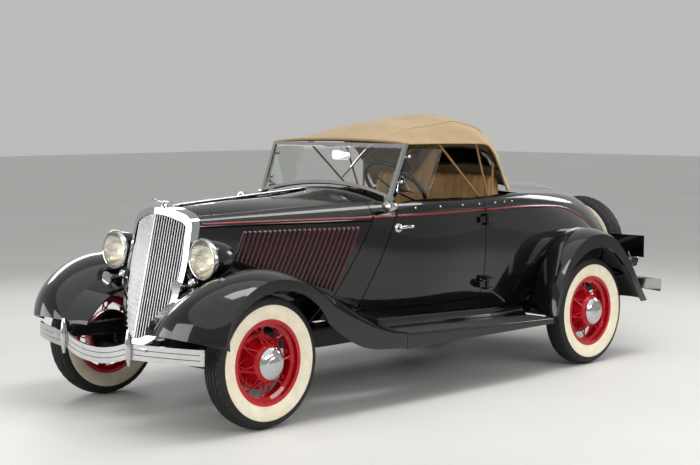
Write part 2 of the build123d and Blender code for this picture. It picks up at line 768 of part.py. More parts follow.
def front_axle():
    # Dropped beam with kingpin eyes and a cross spring below the front cross member.
    middle = front_axle_x
    beam = Solid.extrude(Face(Wire([
        line((middle, -kingpin_y, axle_z + 22), (middle, -430, 318)),
        line((middle, -430, 318), (middle, 430, 318)),
        line((middle, 430, 318), (middle, kingpin_y, axle_z + 22)),
        line((middle, kingpin_y, axle_z + 22), (middle, kingpin_y, axle_z - 22)),
        line((middle, kingpin_y, axle_z - 22), (middle, kingpin_y - eye_flat, axle_z - 22)),
        line((middle, kingpin_y - eye_flat, axle_z - 22), (middle, 440, 262)),
        line((middle, 440, 262), (middle, -440, 262)),
        line((middle, -440, 262), (middle, eye_flat - kingpin_y, axle_z - 22)),
        line((middle, eye_flat - kingpin_y, axle_z - 22), (middle, -kingpin_y, axle_z - 22)),
        line((middle, -kingpin_y, axle_z - 22), (middle, -kingpin_y, axle_z + 22)),
    ])), Vector(40, 0, 0)).moved(Pos(-20, 0, 0))
    shape = beam
    for side in (1, -1):
        eye = rod((middle, side * kingpin_y, axle_z - 30), (middle, side * kingpin_y, axle_z + 30), 26)
        bore = rod((middle, side * kingpin_y, axle_z - 40), (middle, side * kingpin_y, axle_z + 40),
                   kingpin_radius + running_clear)
        shape = shape + eye - bore
        radius_rod = rod((middle - 15, side * 360, 316), (fx(-900), side * 40, 330), 14)
        perch = block(fx(12), fx(68), side * 395, side * 425, 290, 372)
        shape = shape + radius_rod + perch
    spring = Solid.extrude(Face(Wire([
        arc((fx(15), -425, 352), (fx(15), 0, 412 - seat_gap), (fx(15), 425, 352)),
        line((fx(15), 425, 352), (fx(15), 425, 338)),
        arc((fx(15), 425, 338), (fx(15), 0, 376), (fx(15), -425, 338)),
        line((fx(15), -425, 338), (fx(15), -425, 352)),
    ])), Vector(50, 0, 0))
    joint = block(fx(-915), fx(-885), -60, 60, 305, 345)
    return shape + spring + joint


def knuckle():
    # Yoke round the axle's eye, kingpin, brake back plate and the wheel spindle.
    x = front_axle_x
    z = axle_z
    shape = rod((x, kingpin_y, z - 50), (x, kingpin_y, z + 50), kingpin_radius)
    for low, high in ((-50, -36), (36, 50)):
        shape = shape + block(x - 22, x + 22, kingpin_y - 20, kingpin_y + 40, z + low, z + high)
    shape = shape + block(x - 30, x + 30, kingpin_y + 30, kingpin_y + 40, z - 50, z + 50)
    plate_y = kingpin_y + 40
    shape = shape + rod((x, plate_y - 5, z), (x, plate_y + 4, z), drum_radius - 8)
    shape = shape + rod((x, plate_y, z), (x, front_track / 2 + 55, z), hub_bore_radius - running_clear)
    arm = block(x - steering_arm - 16, x, kingpin_y - 16, kingpin_y + 16, z - 50, z - 36)
    return shape + arm


def tie_rod():
    # Rod below the two steering arms, with a flat pad under each arm's end.
    x = front_axle_x - steering_arm
    top = axle_z - 50 - seat_gap
    shape = rod((x, -kingpin_y, top - 22), (x, kingpin_y, top - 22), 12)
    for side in (1, -1):
        shape = shape + rod((x, side * kingpin_y, top - 30), (x, side * kingpin_y, top), 16)
    return shape


def rear_axle():
    # Tapered housing with a round differential case, torque tube and cross spring.
    z = axle_z
    half = rear_track / 2
    case = Pos(rear_axle_x, 0, z) * Sphere(92)
    shape = case + rod((rear_axle_x, -half + 86, z), (rear_axle_x, half - 86, z), 42)
    shape = shape + rod((rear_axle_x, -half - 55, z), (rear_axle_x, half + 55, z), hub_bore_radius - running_clear)
    for side in (1, -1):
        plate = rod((rear_axle_x, side * (half - 86), z), (rear_axle_x, side * (half - 77), z), drum_radius - 8)
        stay = rod((rear_axle_x, side * 480, z - 26), (fx(-2100), side * 25, 346), 16)
        perch = block(rear_axle_x - 92, rear_axle_x - 20, side * 455, side * 485, z - 15, 424)
        shape = shape + plate + stay + perch
    tube = rod((rear_axle_x, 0, z), (fx(-1080), 0, 345), 36)
    spring_x = rear_axle_x - 80
    spring = Solid.extrude(Face(Wire([
        arc((spring_x, -485, 408), (spring_x, 0, 455 - seat_gap), (spring_x, 485, 408)),
        line((spring_x, 485, 408), (spring_x, 485, 392)),
        arc((spring_x, 485, 392), (spring_x, 0, 425), (spring_x, -485, 392)),
        line((spring_x, -485, 392), (spring_x, -485, 408)),
    ])), Vector(50, 0, 0))
    return shape + tube + spring


def engine_block():
    # Plain block at the engine's place, with a gearbox behind and ears to the rails.
    inner = rail_y - rail_width / 2
    main = block(fx(-170), fx(-800), -200, 200, 420, 920)
    bell = block(fx(-760), fx(-810), -110, 110, 360, 500)
    gearbox = block(fx(-800), fx(-900), -110, 110, 360, 440)
    ears = block(fx(-600), fx(-660), -inner, inner, 395, 430)
    return main + bell + gearbox + ears


def radiator():
    return block(fx(-62), fx(16), -176, 176, 470, 1030)


def soft_top():
    # Thin arch sections fanned from the windshield header over the rear bow to the deck.
    wires = []
    for x, angle, half_width, edge, crown in soft_top_rows:
        ahead = math.cos(math.radians(angle))
        up = math.sin(math.radians(angle))

        def at(y, r):
            return (fx(x) + r * ahead, y, top_origin_z + r * up)

        rise = crown - edge
        inner = half_width - fabric
        flank = half_width * top_flank
        flank_r = edge + rise * top_flank_rise
        hip = half_width * top_hip
        hip_r = edge + rise * top_hip_rise
        wires.append(Wire([
            arc(at(-half_width, edge), at(-hip, hip_r), at(-flank, flank_r)),
            *split_arc(at(-flank, flank_r), at(0, crown), at(flank, flank_r)),
            arc(at(flank, flank_r), at(hip, hip_r), at(half_width, edge)),
            line(at(half_width, edge), at(inner, edge)),
            arc(at(inner, edge), at(hip - fabric, hip_r), at(flank - 3, flank_r - fabric)),
            *split_arc(at(flank - 3, flank_r - fabric), at(0, crown - fabric), at(3 - flank, flank_r - fabric)),
            arc(at(3 - flank, flank_r - fabric), at(fabric - hip, hip_r), at(-inner, edge)),
            line(at(-inner, edge), at(-half_width, edge)),
        ]))
    return loft_in_two(wires, 4)


def screen_point(u, v):
    # Point on the raked windshield plane: u across the car, v up the glass.
    lean = math.radians(screen_rake)
    return (fx(screen_base_x) - v * math.sin(lean), u, screen_base_z + v * math.cos(lean))


def screen_outline(inset):
    low = screen_half_width - inset
    high = screen_half_width + 12 - inset
    return Face(Wire([
        arc(screen_point(-low, inset), screen_point(0, 76 + inset), screen_point(low, inset)),
        line(screen_point(low, inset), screen_point(high, screen_height - inset)),
        line(screen_point(high, screen_height - inset), screen_point(-high, screen_height - inset)),
        line(screen_point(-high, screen_height - inset), screen_point(-low, inset)),
    ]))


def screen_slab(inset, back, front):
    lean = math.radians(screen_rake)
    normal = Vector(math.cos(lean), 0, math.sin(lean))
    return Solid.extrude(screen_outline(inset), normal * (front - back)).moved(Pos(*(normal * back)))


def windshield_frame(outside):
    frame = screen_slab(0, -11, 11) - screen_slab(screen_rim, -20, 20)
    foot_x, foot_y, foot_z = screen_point(screen_half_width - 14, 10)
    for side in (1, -1):
        foot = block(foot_x - 22, foot_x + 30, side * (foot_y - 14), side * (foot_y + 12), 1110, foot_z + 6)
        foot = (foot - outside).solids().sort_by(Axis.Z)[-1].moved(Pos(0, side * seat_gap, seat_gap))
        frame = frame + foot
    return frame


def windshield_glass():
    return screen_slab(screen_rim + seat_gap, -3, 3)


def bow(row):
    # Bent tube from side to side below the fabric, in the plane of one of its sections.
    x, angle, half_width, edge, crown = row
    ahead = math.cos(math.radians(angle))
    up = math.sin(math.radians(angle))

    def at(y, r):
        return Vector(fx(x) + r * ahead, y, top_origin_z + r * up)

    foot = at(half_width - bow_inset, edge - 10)
    path = arc(at(bow_inset - half_width, edge - 10), at(0, crown - bow_drop), foot)
    plane = Plane(origin=path.position_at(0), z_dir=path.tangent_at(0))
    return sweep(plane * Circle(bow_radius), path=path), foot


def top_frame():
    # Three bows tied by side irons to a pivot on each side of the body.
    pivot = Vector(fx(top_pivot[0]), top_pivot[1], top_pivot[2])
    boss = rod(pivot + Vector(0, -12, 0), pivot + Vector(0, 12, 0), 16)
    shape = boss + opposite(boss)
    for number in (1, 2, 4):
        hoop, foot = bow(soft_top_rows[number])
        iron = rod(pivot, foot, 7)
        shape = shape + hoop + iron + opposite(iron)
    return shape


def seat_cushion():
    pad = block(fx(-1690), fx(-2050), -515, 515, 640 + seat_gap, 800)
    pad = fillet(pad.edges().filter_by(Axis.Y).sort_by(Axis.Z)[-2:], 50)
    return pad


def seat_back():
    # Leaning back cushion with a rolled top edge.
    profile = Wire([
        line((fx(-2098), -515, 640 + seat_gap), (fx(-2052), -515, 800)),
        line((fx(-2052), -515, 800), (fx(-2120), -515, 1215)),
        arc((fx(-2120), -515, 1215), (fx(-2165), -515, 1272), (fx(-2225), -515, 1232)),
        line((fx(-2225), -515, 1232), (fx(-2212), -515, 640 + seat_gap)),
        line((fx(-2212), -515, 640 + seat_gap), (fx(-2098), -515, 640 + seat_gap)),
    ])
    return Solid.extrude(Face(profile), Vector(0, 1030, 0))


def steering_column():
    start = column_start()
    end = column_end()
    along = (end - start).normalized()
    tube = rod(start, end - along * 60, 22)
    return tube + rod(start, end - along * 4, 10) + block(start.X - 40, start.X + 60, 290, 414, start.Z - 60, start.Z)


def steering_wheel():
    # Eight-sided grip ring, four spokes and a hub that turns on the column's shaft.
    start = column_start()
    end = column_end()
    along = (end - start).normalized()
    across = Vector(0, 1, 0)
    upward = along.cross(across)
    hub = rod(end - along * 50, end + along * 12, 32) - rod(start, end, 10 + running_clear)
    spokes = []
    for turn in (45, 135, 225, 315):
        a = math.radians(turn)
        reach = across * math.cos(a) + upward * math.sin(a)
        spokes.append(rod(end - along * 5 + reach * 22, end + reach * (steering_wheel_radius - 4), 8))
    ring = []
    for number in range(8):
        a = math.radians(45 * number)
        middle = end + across * steering_wheel_radius
        ring.append(middle + across * (12 * math.cos(a)) + along * (12 * math.sin(a)))
    grip = Solid.revolve(Face(Wire.make_polygon(ring, close=True)), 360, Axis(end, along))
    return hub.fuse(grip, *spokes)


def lamp_solid(radius, length, rim, front):
    # Bullet-shaped bucket turned about the X axis, open in front for the lens.
    edges = [
        line((front, 0, 0), (front, radius - rim, 0)),
        line((front, radius - rim, 0), (front + rim * 0.7, radius - rim, 0)),
        line((front + rim * 0.7, radius - rim, 0), (front + rim * 0.7, radius, 0)),
        line((front + rim * 0.7, radius, 0), (front - rim * 1.3, radius, 0)),
        line((front - rim * 1.3, radius, 0), (front - rim * 1.3, radius - rim * 0.6, 0)),
        arc((front - rim * 1.3, radius - rim * 0.6, 0), (front - length * 0.62, radius * 0.66, 0),
            (front - length, 0, 0)),
        line((front - length, 0, 0), (front, 0, 0)),
    ]
    return turned(edges, Axis.X)


def lens_solid(radius, rim, front):
    edge = radius - rim - seat_gap
    base = front + seat_gap
    shoulder = base + rim * 0.5
    tip = base + rim * 1.5
    middle_radius, middle = dome(edge, shoulder, tip)
    return turned([
        line((base, 0, 0), (base, edge, 0)),
        line((base, edge, 0), (shoulder, edge, 0)),
        arc((shoulder, edge, 0), (middle, middle_radius, 0), (tip, 0, 0)),
        line((tip, 0, 0), (base, 0, 0)),
    ], Axis.X)


def headlamp(fender_sheet_solid):
    place = Pos(fx(headlamp_x), headlamp_y, headlamp_z)
    bucket = place * lamp_solid(headlamp_radius, headlamp_length, headlamp_rim, 0)
    x = fx(headlamp_x - 95)
    post = rod((x, headlamp_y, headlamp_z - 60), (x, headlamp_y, 600), headlamp_post_radius)
    post = (post - fender_sheet_solid).solids().sort_by(Axis.Z)[-1]
    return bucket + post.moved(Pos(0, 0, seat_gap))


def headlamp_lens():
    return Pos(fx(headlamp_x), headlamp_y, headlamp_z) * lens_solid(headlamp_radius, headlamp_rim, 0)


def horn(fender_sheet_solid):
    # Dome behind, flaring tube forward, and a stalk down to the fender.
    x, y, z = fx(horn_x), horn_y, horn_z
    dome = Pos(x, y, z) * Sphere(28)
    bell = Pos(x, y, z - 14) * turned([
        line((0, 0, 0), (0, 15, 0)),
        arc((0, 15, 0), (75, 19, 0), (114, 38, 0)),
        line((114, 38, 0), (120, 38, 0)),
        line((120, 38, 0), (120, 0, 0)),
        line((120, 0, 0), (0, 0, 0)),
    ], Axis.X)
    stalk = rod((x, y, z), (x, y, 600), 9)
    stalk = (stalk - fender_sheet_solid).solids().sort_by(Axis.Z)[-1]
    return dome + bell + stalk.moved(Pos(0, 0, seat_gap))


def cowl_lamp(outside):
    place = Pos(fx(cowl_lamp_x), cowl_lamp_y, cowl_lamp_z)
    lamp = place * lamp_solid(38, 95, 8, 0) + place * lens_solid(38, 8, -seat_gap)
    arm = rod((fx(cowl_lamp_x - 40), cowl_lamp_y - 10, cowl_lamp_z - 5),
              (fx(cowl_lamp_x - 40), cowl_lamp_y - 120, cowl_lamp_z - 45), 9)
    arm = (arm - outside).solids().sort_by(Axis.Y)[-1].moved(Pos(0, seat_gap, 0))
    return lamp + arm


def bumper_bar(plan, low_line, high_line):
    # Plan curve and front-view curve carried through each other.
    strip = Solid.extrude(Face(Wire(plan)), Vector(0, 0, 400))
    face = Solid.extrude(Face(Wire(low_line + high_line)), Vector(1200, 0, 0))
    return strip & face


def plan_strip(centre_x, end_x, half, sign):
    # Bowed strip in plan: swept back toward both ends.
    t = bumper_thickness * sign
    bend = half * 0.55
    mid = centre_x - (centre_x - end_x) * 0.26
    z = 250
    return [
        arc((end_x, -half, z), (mid, -bend, z), (centre_x, 0, z)),
        arc((centre_x, 0, z), (mid, bend, z), (end_x, half, z)),
        line((end_x, half, z), (end_x - t, half, z)),
        arc((end_x - t, half, z), (mid - t, bend, z), (centre_x - t, 0, z)),
        arc((centre_x - t, 0, z), (mid - t, -bend, z), (end_x - t, -half, z)),
        line((end_x - t, -half, z), (end_x, -half, z)),
    ]


def front_view_band(x, half, middle_z, dip):
    # Bar of even height that dips in an arc to the middle between the two guards.
    edges = []
    knee = guard_y - 20
    for z, turn in ((middle_z - bumper_height / 2, 1), (middle_z + bumper_height / 2, -1)):
        knees = [(x, -knee * turn, z), (x, knee * turn, z)]
        edges.append(line((x, -half * turn, z), knees[0]))
        edges.append(arc(knees[0], (x, 0, z - dip), knees[1]) if dip else line(*knees))
        edges.append(line(knees[1], (x, half * turn, z)))
        edges.append(line((x, half * turn, z), (x, half * turn, z + turn * bumper_height)))
    return edges


def bumper_guard():
    # Upright spindle, slim at both ends.
    low, high = guard_heights
    return turned([
        line((0, 0, low), (guard_end_radius, 0, low)),
        arc((guard_end_radius, 0, low), (guard_radius, 0, (low + high) / 2), (guard_end_radius, 0, high)),
        line((guard_end_radius, 0, high), (0, 0, high)),
        line((0, 0, high), (0, 0, low)),
    ], Axis.Z)


def front_bumper():
    half = bumper_half
    bar = bumper_bar(plan_strip(fx(572), fx(425), half, 1),
                     front_view_band(fx(-100), half + 10, bumper_z, bumper_dip), [])
    shape = bar
    for side in (1, -1):
        guard = Pos(fx(guard_x), side * guard_y, 0) * bumper_guard()
        arm = block(fx(450), fx(545), side * (rail_y - 28), side * (rail_y + 28), 435, 450)
        shape = shape + guard + arm
    return shape


def rear_bumper():
    half = bumper_half - 6
    bar = bumper_bar(plan_strip(rx(-1045), rx(-920), half, -1),
                     front_view_band(rx(-1400), half + 10, bumper_z + 14, 0), [])
    shape = bar
    for side in (1, -1):
        arm = block(fx(-3640), rx(-1015), side * (rail_y - 28), side * (rail_y + 28), 462, 478)
        shape = shape + arm
    return shape


def fuel_tank():
    inner = rail_y - rail_width / 2
    tank = block(rx(-440), rx(-735), -inner + 20, inner - 20, 405, 545)
    tank = fillet(tank.edges().filter_by(Axis.Y), 40)
    straps = block(rx(-560), rx(-600), -inner, inner, 470, 500)
    return tank + straps


def exhaust():
    # Straight pipe from the gearbox to the tail with a round silencer on the right.
    y = -250
    pipe = rod((fx(-700), y, 288), (rx(-880), y, 270), 22)
    silencer = rod((fx(-1450), y, 284), (fx(-2030), y, 280), 58)
    hanger = block(fx(-2135), fx(-2165), y - 12, y + 12, 280, 395)
    return pipe + silencer + hanger


def spare_place():
    return Pos(rx(spare_x), 0, spare_z) * Rot(0, 0, 90)


def spare_carrier():
    # Bent plate from the frame's rear cross bar back and up to the spare's hub.
    inner = rail_y - rail_width / 2
    bar = block(fx(-3600), fx(-3636), -inner, inner, 462, 512)
    web_back = rx(spare_x) - drum_inner_face + 4
    foot = block(fx(-3600), web_back, -70, 70, 470, 500)
    web = block(web_back + 26, web_back, -60, 60, 470, spare_z + 60)
    stub = rod((web_back + 10, 0, spare_z), (rx(spare_x) - 45, 0, spare_z), hub_bore_radius - seat_gap)
    return bar + foot + web + stub


def tail_lamp(side):
    # Lamp on a stand from the frame's rear end; the left one also carries the blank plate.
    place = Pos(rx(tail_lamp_x), tail_lamp_y, tail_lamp_z) * Rot(0, 0, 180)
    lamp = place * lamp_solid(44, 90, 8, 0) + place * lens_solid(44, 8, -seat_gap)
    stand = rod((rx(-760), rail_y, 480), (rx(tail_lamp_x) + 30, tail_lamp_y, tail_lamp_z - 20), 9)
    stand = stand - block(rx(-900), rx(-600), 0, rail_y + rail_width / 2, 300, 700)
    shape = lamp + stand
    if side > 0:
        shape = shape + block(rx(-716), rx(-720), 405, 710, 654, 806)
        shape = shape + rod((rx(-716), tail_lamp_y - 20, tail_lamp_z + 60),
                            (rx(tail_lamp_x) + 34, tail_lamp_y, tail_lamp_z), 9)
    return shape


def hood_ornament():
    # Plain streamlined fin on the radiator cap.
    base = rod((fx(84), 0, shell_top + seat_gap), (fx(84), 0, shell_top + 26), 20)
    fin = prism([(fx(10), -5, shell_top + 12), (fx(150), -5, shell_top + 26), (fx(178), -5, shell_top + 60),
                 (fx(40), -5, shell_top + 30)], (0, 10, 0))
    return base + fin


outside, inside, shell = body_shell()
hood_tops, hood_sides = hood_panels(outside)
left_door = door(shell)
left_front_fender = front_fender()
left_rear_fender = rear_fender()
bare_fender = fender(front_fender_rows, front_axle_x, 5)
left_headlamp = headlamp(bare_fender)
left_lens = headlamp_lens()
left_horn = horn(bare_fender)
left_cowl_lamp = cowl_lamp(outside)
left_rail = frame_rail()
left_board = running_board()
left_knuckle = knuckle()
road_tyre = tyre()
road_wheel = wheel()

save("frame_rails", left_rail, opposite(left_rail))
save("cross_members", *cross_members())
save("engine_block", engine_block())
save("radiator", radiator())
save("front_axle", front_axle())
save("rear_axle", rear_axle())
save("fuel_tank", fuel_tank())
save("exhaust", exhaust())
save("floor_pan", floor_pan(shell))
save("cowl", cowl(outside, inside, shell))
save("rear_body", rear_body(shell))
save("hood_sides", *hood_sides)
save("radiator_shell", radiator_shell())
save("grille_bars", grille_bars())
save("front_fender_left", left_front_fender)
save("front_fender_right", opposite(left_front_fender))
save("rear_fender_left", left_rear_fender)
save("rear_fender_right", opposite(left_rear_fender))
save("running_boards", left_board, opposite(left_board))
save("windshield_frame", windshield_frame(outside))
save("windshield_glass", windshield_glass())
save("soft_top", soft_top())
save("top_frame", top_frame())
save("seat_cushion", seat_cushion())
save("seat_back", seat_back())
save("steering_column", steering_column())
save("front_bumper", front_bumper())
save("rear_bumper", rear_bumper())
save("headlamps", left_headlamp, opposite(left_headlamp))
save("headlamp_lenses", left_lens, opposite(left_lens))
save("horns", left_horn, opposite(left_horn))
save("cowl_lamps", left_cowl_lamp, opposite(left_cowl_lamp))
save("tail_lamp_left", tail_lamp(1))
save("tail_lamp_right", opposite(tail_lamp(-1)))
save("hood_ornament", hood_ornament())
save("hood_hinge_pin", rod(*hood_hinge(), hood_pin_radius))
save("spare_carrier", spare_carrier())
save("spare_tyre", spare_place() * road_tyre)
save("spare_wheel", spare_place() * road_wheel)
save("door_left", left_door)
save("door_right", opposite(left_door))
save("hood_left", add_hood_barrels(hood_tops[0], 1))
save("hood_right", add_hood_barrels(hood_tops[1], -1))
save("rumble_lid", rumble_lid(shell))
save("steering_wheel", steering_wheel())
save("knuckle_left", left_knuckle)
save("knuckle_right", opposite(left_knuckle))
save("tie_rod", tie_rod())
for end, axle_x, track in (("front", front_axle_x, front_track), ("rear", rear_axle_x, rear_track)):
    for name, side, turn in (("left", 1, 0), ("right", -1, 180)):
        place = Pos(axle_x, side * track / 2, axle_z) * Rot(0, 0, turn)
        save(f"tyre_{end}_{name}", place * road_tyre)
        save(f"wheel_{end}_{name}", place * road_wheel)
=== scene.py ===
import bmesh
import bpy
import math
import numpy as np
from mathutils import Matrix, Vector
from mathutils.bvhtree import BVHTree


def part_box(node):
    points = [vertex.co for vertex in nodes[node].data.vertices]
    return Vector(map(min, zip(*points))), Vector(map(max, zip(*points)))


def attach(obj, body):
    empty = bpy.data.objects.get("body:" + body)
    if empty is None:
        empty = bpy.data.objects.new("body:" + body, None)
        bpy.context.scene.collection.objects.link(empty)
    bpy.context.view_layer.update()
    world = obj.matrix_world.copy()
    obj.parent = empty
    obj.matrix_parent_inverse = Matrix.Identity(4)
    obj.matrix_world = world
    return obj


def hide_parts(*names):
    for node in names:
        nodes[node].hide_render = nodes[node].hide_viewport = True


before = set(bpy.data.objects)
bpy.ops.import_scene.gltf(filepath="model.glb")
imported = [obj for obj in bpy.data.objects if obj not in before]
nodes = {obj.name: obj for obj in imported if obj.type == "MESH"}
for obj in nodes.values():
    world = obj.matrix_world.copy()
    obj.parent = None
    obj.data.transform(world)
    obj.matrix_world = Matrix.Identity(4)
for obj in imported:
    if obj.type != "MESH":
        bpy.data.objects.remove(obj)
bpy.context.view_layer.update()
sides = {"left": 1, "right": -1}
frontAxleX = 1.656
rearAxleX = -1.189
axleZ = 0.356


# Material helpers

def srgb(code):
    # Hex colour to linear light: the standard two-part curve
    parts = [int(code[i:i + 2], 16) / 255 for i in (1, 3, 5)]
    linear = [c / 12.92 if c <= 0.04045 else ((c + 0.055) / 1.055) ** 2.4 for c in parts]
    return (*linear, 1.0)


def addNode(tree, kind, settings=None, **links):
    # Settings go to a property or else to an input; links join an output to an input
    node = tree.nodes.new(kind)
    for key, value in (settings or {}).items():
        if isinstance(key, str) and hasattr(node, key):
            setattr(node, key, value)
        else:
            node.inputs[key].default_value = value
    for key, output in links.items():
        tree.links.new(output, node.inputs[int(key[1:]) if key[0] == "i" and key[1:].isdigit() else key])
    return node


def newMaterial(name, colour, settings):
    material = bpy.data.materials.new(name)
    material.use_nodes = True
    tree = material.node_tree
    shader = tree.nodes["Principled BSDF"]
    shader.inputs["Base Color"].default_value = srgb(colour)
    for key, value in settings.items():
        shader.inputs[key].default_value = value
    place = addNode(tree, "ShaderNodeTexCoord")
    return material, tree, shader, place.outputs["Object"]


def mottle(tree, place, shader, first, second, scale, detail=4.0):
    # Base colour wanders between two shades with noise
    noise = addNode(tree, "ShaderNodeTexNoise", {"Scale": scale, "Detail": detail}, Vector=place)
    ramp = addNode(tree, "ShaderNodeValToRGB", {}, Fac=noise.outputs["Fac"])
    ramp.color_ramp.elements[0].position = 0.3
    ramp.color_ramp.elements[1].position = 0.72
    ramp.color_ramp.elements[0].color = srgb(first)
    ramp.color_ramp.elements[1].color = srgb(second)
    tree.links.new(ramp.outputs["Color"], shader.inputs["Base Color"])
    return ramp


def roughen(tree, place, shader, low, high, scale):
    # Roughness wanders between two values with noise
    noise = addNode(tree, "ShaderNodeTexNoise", {"Scale": scale, "Detail": 3.0}, Vector=place)
    spread = addNode(tree, "ShaderNodeMapRange", {"To Min": low, "To Max": high}, Value=noise.outputs["Fac"])
    tree.links.new(spread.outputs["Result"], shader.inputs["Roughness"])


def bump(tree, height, shader, strength, distance):
    node = addNode(tree, "ShaderNodeBump", {"Strength": strength, "Distance": distance}, Height=height)
    tree.links.new(node.outputs["Normal"], shader.inputs["Normal"])
    return node


def paintMaterial(name, colour, shade, coat):
    # Lacquer over enamel: clear coat, faint orange peel, slight change of tone
    material, tree, shader, place = newMaterial(
        name, colour,
        {"Coat Weight": coat, "Coat Roughness": 0.02, "Coat IOR": 1.48, "Specular IOR Level": 0.08})
    mottle(tree, place, shader, colour, shade, 6.0)
    roughen(tree, place, shader, 0.16, 0.24, 14.0)
    peel = addNode(tree, "ShaderNodeTexNoise", {"Scale": 260.0, "Detail": 1.0}, Vector=place)
    bump(tree, peel.outputs["Fac"], shader, 0.012, 0.001)
    return material


def metalMaterial(name, colour, shade, low, high):
    # Plated or bare metal: roughness varies a little, tone varies with wide noise
    material, tree, shader, place = newMaterial(name, colour, {"Metallic": 1.0})
    mottle(tree, place, shader, colour, shade, 9.0)
    roughen(tree, place, shader, low, high, 30.0)
    return material


def rubberMaterial(name, colour, shade, low, high):
    # Fine grain bump over a mottled matt surface
    material, tree, shader, place = newMaterial(name, colour, {"Specular IOR Level": 0.35})
    mottle(tree, place, shader, colour, shade, 18.0, 8.0)
    roughen(tree, place, shader, low, high, 22.0)
    grain = addNode(tree, "ShaderNodeTexNoise", {"Scale": 900.0, "Detail": 3.0}, Vector=place)
    bump(tree, grain.outputs["Fac"], shader, 0.12, 0.001)
    return material


def canvasMaterial(name, colour, shade):
    # Plain weave: two crossing sets of threads as wave bands, with soft weathering
    material, tree, shader, place = newMaterial(
        name, colour,
        {"Sheen Weight": 0.25, "Sheen Roughness": 0.6, "Specular IOR Level": 0.2, "Roughness": 0.86})
    ramp = mottle(tree, place, shader, shade, colour, 5.0, 6.0)
    warp = addNode(tree, "ShaderNodeTexWave", {"bands_direction": "Y", "Scale": 260.0, "Distortion": 0.6},
                   Vector=place)
    weft = addNode(tree, "ShaderNodeTexWave", {"bands_direction": "X", "Scale": 260.0, "Distortion": 0.6},
                   Vector=place)
    weave = addNode(tree, "ShaderNodeMath", {"operation": "MULTIPLY"}, i0=warp.outputs["Fac"],
                    i1=weft.outputs["Fac"])
    thread = addNode(tree, "ShaderNodeMix", {"data_type": "RGBA", "blend_type": "MULTIPLY", "Factor": 0.22},
                     i6=ramp.outputs["Color"], i7=weave.outputs["Value"])
    tree.links.new(thread.outputs[2], shader.inputs["Base Color"])
    bump(tree, weave.outputs["Value"], shader, 0.35, 0.0006)
    return material


def leatherMaterial(name, colour, shade):
    # Pebble grain from cells, as a bump
    material, tree, shader, place = newMaterial(name, colour, {"Specular IOR Level": 0.4})
    mottle(tree, place, shader, shade, colour, 7.0, 6.0)
    roughen(tree, place, shader, 0.38, 0.58, 25.0)
    cells = addNode(tree, "ShaderNodeTexVoronoi", {"Scale": 420.0}, Vector=place)
    bump(tree, cells.outputs["Distance"], shader, 0.22, 0.001)
    return material


def woodMaterial(name, colour, shade):
    # Long grain: stretched noise in bands
    material, tree, shader, place = newMaterial(name, colour, {"Roughness": 0.45})
    stretch = addNode(tree, "ShaderNodeMapping", {"Scale": (30.0, 3.0, 30.0)}, Vector=place)
    grain = addNode(tree, "ShaderNodeTexNoise", {"Scale": 3.0, "Detail": 8.0},
                    Vector=stretch.outputs["Vector"])
    ramp = addNode(tree, "ShaderNodeValToRGB", {}, Fac=grain.outputs["Fac"])
    ramp.color_ramp.elements[0].color = srgb(shade)
    ramp.color_ramp.elements[1].color = srgb(colour)
    tree.links.new(ramp.outputs["Color"], shader.inputs["Base Color"])
    return material


def glassMaterial(name, colour, settings, flutes=0.0, depth=0.0):
    # Clear glass; flutes give the upright ribs of a lamp lens
    material, tree, shader, place = newMaterial(
        name, colour, {"Transmission Weight": 1.0, "Roughness": 0.0, "IOR": 1.45, **settings})
    if flutes:
        ribs = addNode(tree, "ShaderNodeTexWave", {"bands_direction": "Y", "Scale": flutes}, Vector=place)
        bump(tree, ribs.outputs["Fac"], shader, depth, 0.002)
    return material


black = paintMaterial("black_lacquer", "#08080a", "#060607", 1.0)
red = paintMaterial("red_enamel", "#b80f1c", "#a30c18", 0.7)
stripeRed = paintMaterial("red_striping_enamel", "#a51522", "#8f101b", 0.5)
chassisBlack = paintMaterial("chassis_black_paint", "#121213", "#1a1a1a", 0.2)
engineGreen = paintMaterial("engine_green_paint", "#2c4038", "#24342e", 0.2)
chrome = metalMaterial("chrome_plate", "#c6c6c5", "#b8b9ba", 0.03, 0.09)
steel = metalMaterial("bare_steel", "#8d8d8b", "#767573", 0.28, 0.45)
reflectorSilver = metalMaterial("silvered_reflector", "#f1efe8", "#e6e3da", 0.05, 0.12)
rubber = rubberMaterial("tyre_rubber", "#141415", "#1c1c1c", 0.55, 0.75)
whitewall = rubberMaterial("whitewall_rubber", "#ece4cd", "#ddd3b8", 0.5, 0.62)
matRubber = rubberMaterial("ribbed_mat_rubber", "#161617", "#202020", 0.5, 0.7)
hardPlastic = rubberMaterial("hard_black_plastic", "#17161a", "#1f1d1f", 0.22, 0.34)
canvas = canvasMaterial("tan_canvas", "#a18655", "#8f7546")
binding = canvasMaterial("tan_binding", "#a4875a", "#927548")
leather = leatherMaterial("tan_leather", "#c39a62", "#a97f4a")
bowWood = woodMaterial("bow_wood", "#9c7444", "#6d4a28")
glass = glassMaterial("window_glass", "#f4f7f5", {"Specular IOR Level": 0.4})
lensGlass = glassMaterial("fluted_lens_glass", "#fbf7ec", {"Roughness": 0.20}, 32.0, 0.25)
redGlass = glassMaterial("red_lens_glass", "#c01018", {"Roughness": 0.10}, 60.0, 0.3)
# Rear pane tinted dark grey: painted shade for the dim inside of the top seen through it
shadeTintedPane = glassMaterial("rear_pane", "#3a3c3c", {"Roughness": 0.08})
# Near-black painted shade for the open rear of each hood louvre slot
paintedSlotShade = rubberMaterial("painted_shade_recess", "#050505", "#080808", 0.7, 0.9)
dialCream = rubberMaterial("dial_enamel", "#d9d2bb", "#cfc7ae", 0.35, 0.45)
plateEnamel = paintMaterial("blank_plate_enamel", "#23272b", "#2b3034", 0.4)

